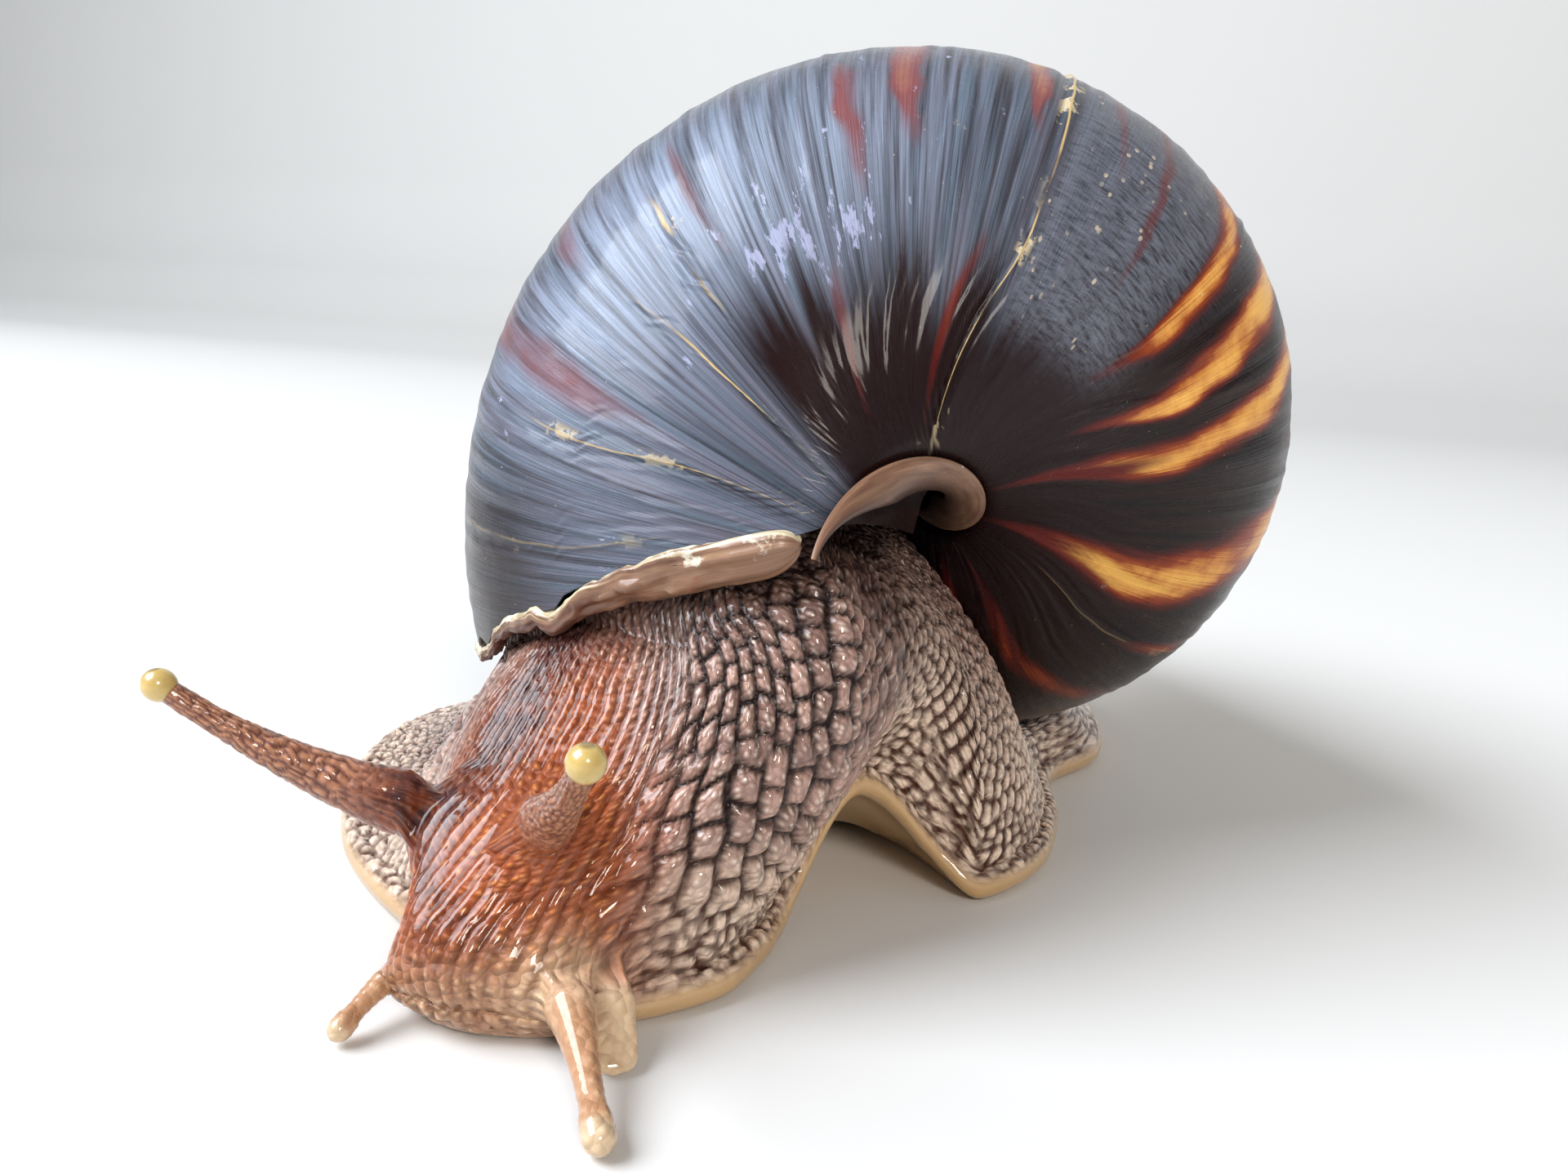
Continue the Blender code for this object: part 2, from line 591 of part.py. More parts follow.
def add_feelers(head, skin, pale):
    """Upper feelers in two lengths with the eyes at their tips, and the short lower pair."""
    for side, (root, tip, sag, thick, thin) in UPPER_TENTACLES.items():
        length = np.linalg.norm(np.subtract(tip, root))
        sink, stop = FEELER_SINK / length, 1 - (EYE_RADIUS + GAP) / length
        cut = GAP / 2 / length
        for part, low, high in (("root", -sink, 0.5 - cut), ("tip", 0.5 + cut, stop)):
            path, t = feeler_path(root, tip, sag, low, high, 6)
            radii = thin + (thick - thin) * (1 - np.clip(t, 0, 1)) ** FEELER_TAPER
            add_object(f"upper_tentacle_{side}_{part}", tube(path, radii), skin)
        add_object(f"eye_{side}", ball(tip, [EYE_RADIUS] * 3), pale)
        path, t = feeler_path(root, tip, sag, -sink - SKIN_SOCKET / length, 0.5, 7)
        radii = thin + (thick - thin) * (1 - np.clip(t, 0, 1)) ** FEELER_TAPER + SKIN_SOCKET
        cut_out(head, f"socket_upper_{side}", tube(path, radii))
    for side, (root, tip, sag, thick, thin) in LOWER_TENTACLES.items():
        length = np.linalg.norm(np.subtract(tip, root))
        t = np.array([-LOWER_SINK / length, 0.0, 0.35, 0.7, 0.9, 1.0, 1.0 + 0.5 * thin / length,
                      1.0 + 0.85 * thin / length])
        root, tip = np.array(root), np.array(tip)
        middle = (root + tip) / 2 + 2 * np.array(sag)
        path = (1 - t[:, None]) ** 2 * root + 2 * ((1 - t) * t)[:, None] * middle + t[:, None] ** 2 * tip
        radii = np.array([thick, thick, thick * 0.85, thin * 0.9, thin * 1.04, thin, thin * 0.87, thin * 0.5])
        add_object(f"lower_tentacle_{side}", tube(path, radii, 10), skin)
        deep = path.copy()
        deep[0] -= unit(path[1] - path[0]) * SKIN_SOCKET
        cut_out(head, f"socket_lower_{side}", tube(deep, radii + SKIN_SOCKET, 10))


def add_lappets(head, skin):
    """Soft lobes on either side of the mouth."""
    turn = -np.radians(HEAD_YAW)
    for side, (centre, half_sizes) in LAPPETS.items():
        add_object(f"mouth_lappet_{side}", ball(centre, half_sizes, turn), skin)
        room = [h + SKIN_SOCKET for h in half_sizes]
        cut_out(head, f"socket_lappet_{side}", ball(centre, room, turn))


def main():
    for obj in list(bpy.data.objects):
        bpy.data.objects.remove(obj)
    shell = new_material("shell_dark", (0.035, 0.022, 0.02), 0.25)
    pale = new_material("shell_pale", (0.62, 0.5, 0.36), 0.4)
    skin = new_material("skin", (0.25, 0.12, 0.07), 0.35)
    bulb = new_material("eye_bulb", (0.62, 0.47, 0.2), 0.25)
    add_shell(shell)
    add_lip(pale)
    add_columella(pale)
    head = add_flesh(skin)
    add_feelers(head, skin, bulb)
    add_lappets(head, skin)


main()
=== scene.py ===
"""A giant African land snail as a still, life-size model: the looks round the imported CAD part.

World axes: the animal heads toward -Y, its left is +X, and its sole lies on z = 0. Shapes are
worked out in millimetres and put into the meshes in metres.
"""

import bpy
import numpy as np
from mathutils import Matrix


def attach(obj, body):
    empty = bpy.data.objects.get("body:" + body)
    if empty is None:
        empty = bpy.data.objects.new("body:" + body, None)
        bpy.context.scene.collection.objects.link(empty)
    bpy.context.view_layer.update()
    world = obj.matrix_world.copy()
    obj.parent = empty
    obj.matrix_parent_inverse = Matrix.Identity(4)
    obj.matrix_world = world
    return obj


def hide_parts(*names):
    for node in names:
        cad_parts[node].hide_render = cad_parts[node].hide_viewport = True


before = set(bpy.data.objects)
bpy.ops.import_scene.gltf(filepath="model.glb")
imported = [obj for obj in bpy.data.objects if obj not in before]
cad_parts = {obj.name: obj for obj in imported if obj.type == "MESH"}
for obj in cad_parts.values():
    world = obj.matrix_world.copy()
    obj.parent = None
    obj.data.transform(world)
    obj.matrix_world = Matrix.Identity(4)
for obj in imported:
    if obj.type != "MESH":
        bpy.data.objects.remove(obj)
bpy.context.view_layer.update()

MM = 0.001

# ---- shell: the same self-similar spiral as the part's ----
SHELL_HEIGHT = 106.0            # along the axis, up to the ideal apex
WHORL_RATIO = 1.5               # growth in one turn
WHORLS = 6
SUTURE_AT = 0.478               # where on the outline the next whorl is fastened
SHOULDER = (38.9, 39.0)         # the outline's handles: distance from the axis, height
BASE_SWELL = (46.9, 5.5)
BASE_RADIUS = 5.7
SHELL_BASE = np.array([19.5, -42.3, 26.4])
SHELL_YAW = 12.2
SHELL_RISE = 5.7
LIP_DROOP = 26.0                # degrees the lip is turned down from level
LIP_SETBACK = 3.8               # how far the lip lies back beside the columella
WALL = 1.3                      # thickness of the shell at the mouth
POCKET_TURN = 62.0              # degrees the hollow of the mouth goes back
FUNNEL_DEPTH = 7.0
MOUTH_CENTRE = (18.5, 20.5)
MOUTH_NARROW = 14.0             # nearer the axis than this, the lip keeps its angle
LID_RISE = 18.0                 # up the axis from the older whorl's base to the middle of the lid over it
MOUTH_RINGS = (0.6, 3.0, 8.0, 18.0, 34.0, POCKET_TURN)      # degrees back from the lip
LIP_OVERHANG = 5.5              # how far the callus runs on past the lip, beside the columella
OUTER_RADIUS = 34.0             # how far the widest part of the last whorl is from the axis

# ---- flesh ----
RIM_HEIGHT = 2.3
SOLE_INSET = 1.0
ARCH_HEIGHT = 7.6
ARCH_CENTRE = (14.0, -26.8)
ARCH_REACH = 9.5
SHELL_CLEARANCE = 1.2
MOUTH_MARGIN = 2.3              # from the flesh to the mouth's edge
PLUG_TURN = 34.0                # degrees the flesh goes back into the mouth

# Stations round the foot, anticlockwise from the front: edge x, y; then how far the lower
# handle goes inward and up, and the upper handle outward and down, to shape the flank there.
STATIONS = np.array([
    (1.0, -50.5, -0.5, 7.0, 6.0, 3.0),
    (7.5, -49.0, 0.5, 6.5, 5.0, 5.0),
    (11.2, -45.0, -0.5, 7.0, 4.0, 6.0),
    (11.9, -39.5, -2.0, 7.0, 5.0, 7.0),
    (11.6, -33.0, -4.5, 6.0, 6.0, 7.0),
    (14.0, -26.5, -4.5, 5.0, 7.0, 7.0),
    (18.0, -23.5, -3.0, 5.0, 8.0, 7.0),
    (22.5, -22.5, -0.5, 5.0, 8.0, 7.0),
    (25.3, -15.0, 1.0, 6.0, 8.0, 8.0),
    (24.8, -5.0, 2.0, 5.0, 8.0, 9.0),
    (22.6, 5.5, 2.0, 5.0, 8.0, 9.0),
    (25.5, 17.0, 4.0, 6.0, 6.0, 10.0),
    (21.5, 33.0, 8.0, 7.0, 4.0, 12.0),
    (12.0, 47.0, 13.0, 8.0, 2.0, 14.0),
    (3.0, 55.0, 28.0, 10.0, 0.0, 14.0),
    (-6.5, 49.0, 13.0, 8.0, 2.0, 14.0),
    (-17.0, 34.0, 8.0, 5.0, 2.0, 12.0),
    (-24.0, 15.0, 8.0, 3.5, 3.0, 10.0),
    (-33.0, -6.0, 9.0, 3.0, 2.0, 7.0),
    (-32.0, -21.5, 10.0, 2.5, 2.0, 5.0),
    (-22.0, -37.5, 7.0, 4.0, 4.0, 4.0),
    (-9.5, -46.5, 0.0, 6.0, 6.5, 3.0),
])
FIRST_STATION = 16.5            # the skin's columns start here, on the far side

HEAD_YAW = 19.0
HEAD_CENTRE = (0.0, -46.0)
HEAD_MIDDLE = 2.4                # the snout is this far to the near side of the head's centre
HEAD_WIDE = (6.6, 7.8)           # on the far side of the head's middle line, and on the near side
HEAD_BROW = 2.4                  # how much wider the far side is above the eyes' height
HEAD_BULGE = 7.9
HEAD_LEVEL = 4.4
HEAD_TALL = 7.5
EYE_RADIUS = 1.03
EYE_WIDE, EYE_LONG = 0.97, 1.03  # the bulb's half width and half length over its radius

UPPER_TENTACLES = {
    "right": ((-7.4, -49.0, 10.2), (-20.7, -55.6, 17.2), (0.0, 0.0, -0.8), 2.15, 0.56),
    "left": ((0.4, -48.6, 10.4), (10.2, -60.7, 19.6), (0.0, 0.0, -0.8), 2.3, 0.56),
}
LOWER_TENTACLES = {
    "right": ((-4.6, -52.8, 2.9), (-5.3, -58.6, 1.0), (0.0, 0.0, 0.3), 1.6, 0.72),
    "left": ((5.2, -52.9, 3.7), (11.9, -61.0, 1.05), (0.0, 0.0, 0.3), 2.2, 0.92),
}
NO_SAG = (0.0, 0.0, 0.0)
LOBES = (                       # beside the mouth: root, end, half sizes across and deep
    ((7.6, -52.0, 3.4), (9.5, -54.9, 0.35), 1.35, 0.6),
)

FLESH_NODES = ("head", "neck", "foot_front", "foot_middle", "tail", "upper_tentacle_right_root",
               "upper_tentacle_right_tip", "upper_tentacle_left_root", "upper_tentacle_left_tip",
               "lower_tentacle_right", "lower_tentacle_left", "mouth_lappet_right", "mouth_lappet_left")


# ---------------------------------------------------------------- small tools

def unit(v):
    """Vectors divided by their own lengths."""
    v = np.asarray(v, float)
    return v / np.maximum(np.linalg.norm(v, axis=-1, keepdims=True), 1e-9)


def smooth(x):
    """Soft step from 0 to 1: 3 x squared less 2 x cubed, level below 0 and above 1."""
    x = np.clip(x, 0.0, 1.0)
    return x * x * (3.0 - 2.0 * x)


def bezier(p0, p1, p2, p3, t):
    """Cubic curve from p0 to p3 with handles p1 and p2, at shares t of the way."""
    return ((1 - t) ** 3 * p0 + 3 * (1 - t) ** 2 * t * p1
            + 3 * (1 - t) * t * t * p2 + t ** 3 * p3)


def wander(x, y, seed, wrap=256):
    """Smooth random values from -1 to 1: random numbers on whole x and y, blended in between."""
    table = np.random.default_rng(seed).uniform(-1, 1, (wrap, 256))
    x, y = np.broadcast_arrays(np.asarray(x, float), np.asarray(y, float))
    xi, yi = np.floor(x).astype(int), np.floor(y).astype(int)
    fx, fy = smooth(x - xi), smooth(y - yi)
    x0, x1, y0, y1 = xi % wrap, (xi + 1) % wrap, yi % 256, (yi + 1) % 256
    low = table[x0, y0] * (1 - fx) + table[x1, y0] * fx
    high = table[x0, y1] * (1 - fx) + table[x1, y1] * fx
    return low * (1 - fy) + high * fy


def cells(x, y, seed, jitter=0.38):
    """Pebble-like cells, one about each whole-number square: every square has a jittered seed, and
    each place belongs to the nearest. Gives the distance to the border and the cell's random tone
    from 0 to 1."""
    rng = np.random.default_rng(seed)
    table = rng.uniform(-1, 1, (3, 256, 256))
    xi, yi = np.floor(x).astype(int), np.floor(y).astype(int)
    first = np.full(x.shape, 9.0)
    second = first.copy()
    tone = np.zeros(x.shape)
    for dx in (-1, 0, 1):
        for dy in (-1, 0, 1):
            cx, cy = (xi + dx) % 256, (yi + dy) % 256
            far = np.hypot(x - (xi + dx + 0.5 + jitter * table[0, cx, cy]),
                           y - (yi + dy + 0.5 + jitter * table[1, cx, cy]))
            nearest = far < first
            second = np.where(nearest, first, np.minimum(second, far))
            tone = np.where(nearest, table[2, cx, cy] * 0.5 + 0.5, tone)
            first = np.where(nearest, far, first)
    return (second - first) / 2, tone


def grid_faces(rows, cols, closed=False):
    """Quads of a rows x cols grid of points; closed joins the last column to the first."""
    wide = cols if closed else cols - 1
    i, j = np.meshgrid(np.arange(rows - 1), np.arange(wide), indexing="ij")
    k = (j + 1) % cols
    return np.stack([i * cols + j, i * cols + k, (i + 1) * cols + k, (i + 1) * cols + j],
                    -1).reshape(-1, 4)


def fan_faces(loop, centre):
    """Triangles from each pair of neighbours in a closed loop of point numbers to a centre point,
    written as quads whose last corner repeats."""
    loop = np.asarray(loop)
    ahead = np.roll(loop, -1)
    middle = np.full(len(loop), centre)
    return np.stack([loop, ahead, middle, middle], -1)


def add_piece(name, points, faces, material, nodes, values=None, uv=None):
    """Put points (millimetres) and faces into a mesh, with its named point values and UV map, and
    set it in the frame in place of its CAD nodes."""
    mesh = bpy.data.meshes.new(name)
    faces = np.asarray(faces)
    triangle = faces[:, 2] == faces[:, 3]
    corners = np.ones(faces.shape, bool)
    corners[triangle, 3] = False
    flat = faces[corners]
    total = np.where(triangle, 3, 4)
    mesh.vertices.add(len(points))
    mesh.vertices.foreach_set("co", (points * MM).astype(np.float32).ravel())
    mesh.loops.add(len(flat))
    mesh.loops.foreach_set("vertex_index", flat.astype(np.int32))
    mesh.polygons.add(len(faces))
    mesh.polygons.foreach_set("loop_start", (np.cumsum(total) - total).astype(np.int32))
    mesh.polygons.foreach_set("loop_total", total.astype(np.int32))
    if uv is not None:
        mesh.uv_layers.new(name="surface").data.foreach_set("uv", uv[flat].astype(np.float32).ravel())
    for key, value in (values or {}).items():
        mesh.attributes.new(key, "FLOAT", "POINT").data.foreach_set("value", value.astype(np.float32))
    mesh.update(calc_edges=True)
    mesh.validate()
    mesh.materials.append(material)
    mesh.shade_smooth()
    piece = bpy.data.objects.new(name, mesh)
    bpy.context.scene.collection.objects.link(piece)
    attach(piece, "root")
    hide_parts(*nodes)


# ---------------------------------------------------------------- shell

def shell_axes():
    """Unit vectors: along the axis to the apex, from the axis to the lip, and the way of growth."""
    yaw, rise, droop = np.radians([SHELL_YAW, SHELL_RISE, LIP_DROOP])
    axis = np.array([-np.sin(yaw) * np.cos(rise), np.cos(yaw) * np.cos(rise), np.sin(rise)])
    side = np.array([-np.cos(yaw), -np.sin(yaw), 0.0])
    down = np.cross(side, axis)
    lip = np.cos(droop) * side + np.sin(droop) * down
    return axis, lip, np.cross(lip, axis)


AXIS, LIP, GROWTH = shell_axes()


def whorl_curve(t):
    """Distance from the axis and height of the whorl's outline, from its suture to its base."""
    t = np.asarray(t, float)[..., None]
    c, ratio = SUTURE_AT, WHORL_RATIO
    p1, p2, p3 = np.array(SHOULDER), np.array(BASE_SWELL), np.array([BASE_RADIUS, 0.0])
    rest = 3 * (1 - c) ** 2 * c * p1 + 3 * (1 - c) * c * c * p2 + c ** 3 * p3
    apex = np.array([0.0, SHELL_HEIGHT])
    p0 = (apex * (1 - 1 / ratio) + rest / ratio) / (1 - (1 - c) ** 3 / ratio)
    return bezier(p0, p1, p2, p3, t)


def shell_scale(turn):
    """Size of the whorl at turn against the lip's: the whorl ratio to the power of the turns."""
    return WHORL_RATIO ** (turn / (2 * np.pi))


def ray_at(turn):
    """Unit vectors from the axis outward at turn."""
    return np.cos(turn)[..., None] * LIP + np.sin(turn)[..., None] * GROWTH


def shell_place(radius, height, turn):
    """World point of a whorl-curve point (radius, height) carried back by turn (negative)."""
    s = shell_scale(turn)
    r = (radius * s)[..., None]
    w = (SHELL_HEIGHT + (height - SHELL_HEIGHT) * s)[..., None]
    return SHELL_BASE + r * ray_at(turn) + w * AXIS


def lip_turn(t):
    """Where the lip lies: square across the whorl, but lying back beside the columella."""
    t = np.asarray(t, float)
    return -LIP_SETBACK * smooth((t - 0.45) / 0.45) / whorl_curve(t)[..., 0]


def whorl_outward(t, turn):
    """Unit vectors square to the whorl's outline, in the plane through the axis at turn."""
    t = np.asarray(t, float)
    slope = (whorl_curve(t + 0.001) - whorl_curve(t - 0.001))
    out = unit(np.stack([-slope[..., 1], slope[..., 0]], -1))
    return out[..., :1] * ray_at(turn) + out[..., 1:] * AXIS


# Where growth once stopped: turn in degrees at t 0.55 and at t 0.95, step's height, its start and
# end along t, width, ochre, how crooked.
GROWTH_STOPS = (
    (-131.0, -133.5, 0.22, -0.10, 1.10, 0.15, 1.0, 0.15),
    (-69.0, -73.0, 0.24, 0.70, 0.955, 0.30, 1.0, 0.60),
    (-56.0, -65.0, 0.20, 0.78, 0.985, 0.20, 1.0, 0.35),
    (-36.0, -39.5, 0.18, 0.74, 1.00, 0.14, 0.6, 0.15),
    (-21.0, -21.0, 0.12, 0.60, 0.93, 0.16, 0.2, 0.4),
    (-98.0, -99.0, 0.07, 0.30, 0.70, 0.14, 0.0, 0.4),
    (-163.0, -166.0, 0.08, 0.30, 0.90, 0.16, 0.05, 0.4),
    (-238.0, -244.0, 0.10, 0.10, 0.95, 0.2, 0.2, 0.4),
    (-300.0, -306.0, 0.10, 0.00, 0.90, 0.2, 0.3, 0.4),
)
# Flames: turn in degrees at t 0.55 and at t 0.95, half width, start and end along t, strength.
FLAMES = (
    (-126.0, -131.0, 1.4, 0.42, 0.75, 0.75),
    (-109.0, -112.0, 2.1, 0.40, 0.80, 0.70),
    (-100.0, -104.0, 1.8, 0.58, 0.86, 0.5),
    (-120.0, -126.0, 2.0, 0.84, 1.04, 0.6),
    (-92.0, -97.0, 2.0, 0.86, 1.02, 0.5),
    (-84.0, -88.0, 1.2, 0.88, 1.02, 0.3),
    (-76.0, -79.0, 1.6, 0.60, 0.90, 0.2),
    (-58.0, -61.0, 2.4, 0.45, 0.80, 0.22),
    (-44.0, -46.0, 3.2, 0.50, 0.93, 0.36),
    (-139.0, -147.0, 1.2, 0.30, 0.78, 0.30),
    (-147.0, -157.0, 1.2, 0.20, 0.90, 0.32),
    (-160.0, -170.5, 2.5, 0.20, 0.93, 0.80),
    (-170.5, -183.0, 3.1, 0.10, 0.96, 1.10),
    (-182.5, -198.0, 3.7, 0.05, 1.04, 0.88),
    (-196.0, -208.0, 0.9, 0.10, 0.70, 0.4),
    (-211.5, -231.0, 6.4, 0.05, 1.04, 0.92),
    (-234.0, -250.0, 2.2, 0.05, 0.85, 0.35),
    (-251.0, -272.0, 3.4, 0.00, 1.04, 0.36),
    (-273.0, -290.0, 3.4, 0.00, 1.02, 0.8),
    (-294.0, -308.0, 3.0, 0.00, 1.00, 0.8),
    (-311.0, -324.0, 3.6, 0.00, 1.00, 0.8),
    (-332.0, -344.0, 3.2, 0.00, 1.00, 0.8),
    (-350.0, -360.0, 3.0, 0.00, 1.00, 0.7),
)


def at_place(first, last, t):
    """Value that goes evenly from first at t 0.55 to last at t 0.95 and on past them."""
    return first + (last - first) * (t - 0.55) / 0.40


def line_lean(turn, t):
    """How far a growth line swings round the axis near the base: back beside the young lip,
    forward on older shell."""
    swing = np.tanh((-np.degrees(turn) - 68.0) / 45.0)
    return np.radians(13.0) * swing * smooth((t - 0.82) / 0.18)


def shell_relief(turn, t):
    """Height of the growth ridges over the smooth whorl, in millimetres: coarse and fine random
    waves that run along the growth lines, and a step at each place where growth once stopped."""
    along = (turn - line_lean(turn, t)) * OUTER_RADIUS
    lean = 1.2 * wander(t * 5, 0 * t, 31)
    height = 0.07 * wander((along + lean) / 2.3, t * 4, 11)
    height += 0.085 * wander((along + lean) / 0.9, t * 7, 12)
    height += 0.10 * wander(along / 14, t * 5, 13)
    stop = np.zeros(np.broadcast(turn, t).shape)
    off = np.full(stop.shape, 3.0)
    width = np.full(stop.shape, 0.2)
    for first, last, step, low, high, wide, ochre, crooked in GROWTH_STOPS:
        degrees = at_place(first, last, t)
        crook = crooked * (wander(t * 11, 0 * t + first, 14) + 0.5 * wander(t * 37, 0 * t + first, 15))
        ahead = along - np.radians(degrees) * OUTER_RADIUS - crook
        near = smooth((t - low) / 0.06) * smooth((high - t) / 0.04)
        ledge = np.exp(-(ahead / 0.3) ** 2) - 0.8 * np.exp(-((ahead - 0.6) / 0.45) ** 2)
        height += step * near * ledge
        patchy = smooth((wander(t * 19, 0 * t + first, 16) + 1.25 - crooked) / 0.7)
        nearer = np.abs(ahead) < np.abs(off)
        off = np.where(nearer, ahead, off)
        stop = np.where(nearer, ochre * near * patchy * smooth(2.5 - np.abs(ahead)), stop)
        width = np.where(nearer, wide, width)
    return height, stop, (off + 0.05) / width


def shell_flames(turn, t):
    """Strength of the red-brown flame bands, 0 to 1. On the last whorl each band has its own turn
    and width and a ragged edge; on older whorls they are random waves along the growth lines."""
    line = np.degrees(turn - line_lean(turn, t))
    ragged = 1.6 * wander(t * 9, line / 9, 21) + 0.8 * wander(t * 27, line / 3, 22)
    bands = np.zeros(line.shape)
    for first, last, half, low, high, strength in FLAMES:
        taper = smooth((t - low) / 0.12 + 0.3) * smooth((high - t) / 0.16)
        off = (line - at_place(first, last, t) + 0.7 * ragged) / (half * (0.55 + 0.45 * taper))
        bands = np.maximum(bands, strength * taper * np.exp(-np.abs(off) ** 2.4))
    bands *= 0.86 + 0.25 * wander(line / 2.2, t * 6, 24)
    waves = wander(line / 11, t * 2, 26) + 0.3 * wander(line / 3, t * 5, 23)
    older = smooth((-line - 352.0) / 10.0)
    return np.clip(bands * (1 - older) + smooth((waves + 0.1) / 0.5) * older, 0, 1)


TURN_STEPS = 1000
FUNNEL_RINGS = 8
BASE_ROWS = 78
SPIRE_STEPS = 330
SPIRE_ROWS = 26


def shell_values(turn, t):
    """Height of the relief, and everything the shell's finish needs, at each point."""
    height, stop, stop_off = shell_relief(turn, t)
    degrees = np.degrees(turn)
    shore = 0.87 + 0.028 * wander(degrees / 3.5, 0 * t, 27) + 0.015 * wander(degrees, 0 * t, 28)
    # scratches of worn shell, their pale blue partly a painted sheen
    scuff_and_sheen = smooth((-degrees - 132.0) / 3.0) * smooth((172.0 + degrees) / 16.0)
    worn_lip = smooth((degrees + 38.0) / 20.0) * smooth((0.88 - t) / 0.14)
    return height, {
        "red_band": shell_flames(turn, t), "stop": stop, "stop_off": stop_off,
        "inside": 0.0 * height,
        # a painted reflection: where the sky's pale blue sheen is put into the dome's colour
        "painted_sky_sheen": np.exp(-((degrees + 72.0) / 38.0) ** 2 - ((t - 0.74) / 0.13) ** 2),
        # a painted reflection: where the pale lilac reflection patches are thickest
        "painted_reflection_spot": np.exp(-((degrees + 92.0) / 17.0) ** 2 - ((t - 0.835) / 0.05) ** 2),
        "scuff_and_sheen": scuff_and_sheen * smooth((t - 0.45) / 0.2) * smooth((0.92 - t) / 0.05),
        # where the slate-blue goes: partly the worn skin's colour, partly a painted reflection of the sky
        "young": smooth((degrees + 165.0) / 50.0) * (1 - 0.88 * worn_lip),
        "wet": smooth((t - shore + 0.02) / 0.07) * smooth((-degrees - 66.0) / 8.0)}


def suture_relief(t):
    """A groove at the suture with a low welt beside it, in millimetres."""
    return -0.35 * np.exp(-(t / 0.02) ** 2) + 0.25 * np.exp(-((t - 0.05) / 0.02) ** 2)


def shell_uv(turn, t):
    """The shell's surface map: round the axis, and across the whorl from the suture to the base."""
    return np.stack([turn * OUTER_RADIUS / 100, t * 0.9], -1).reshape(-1, 2)


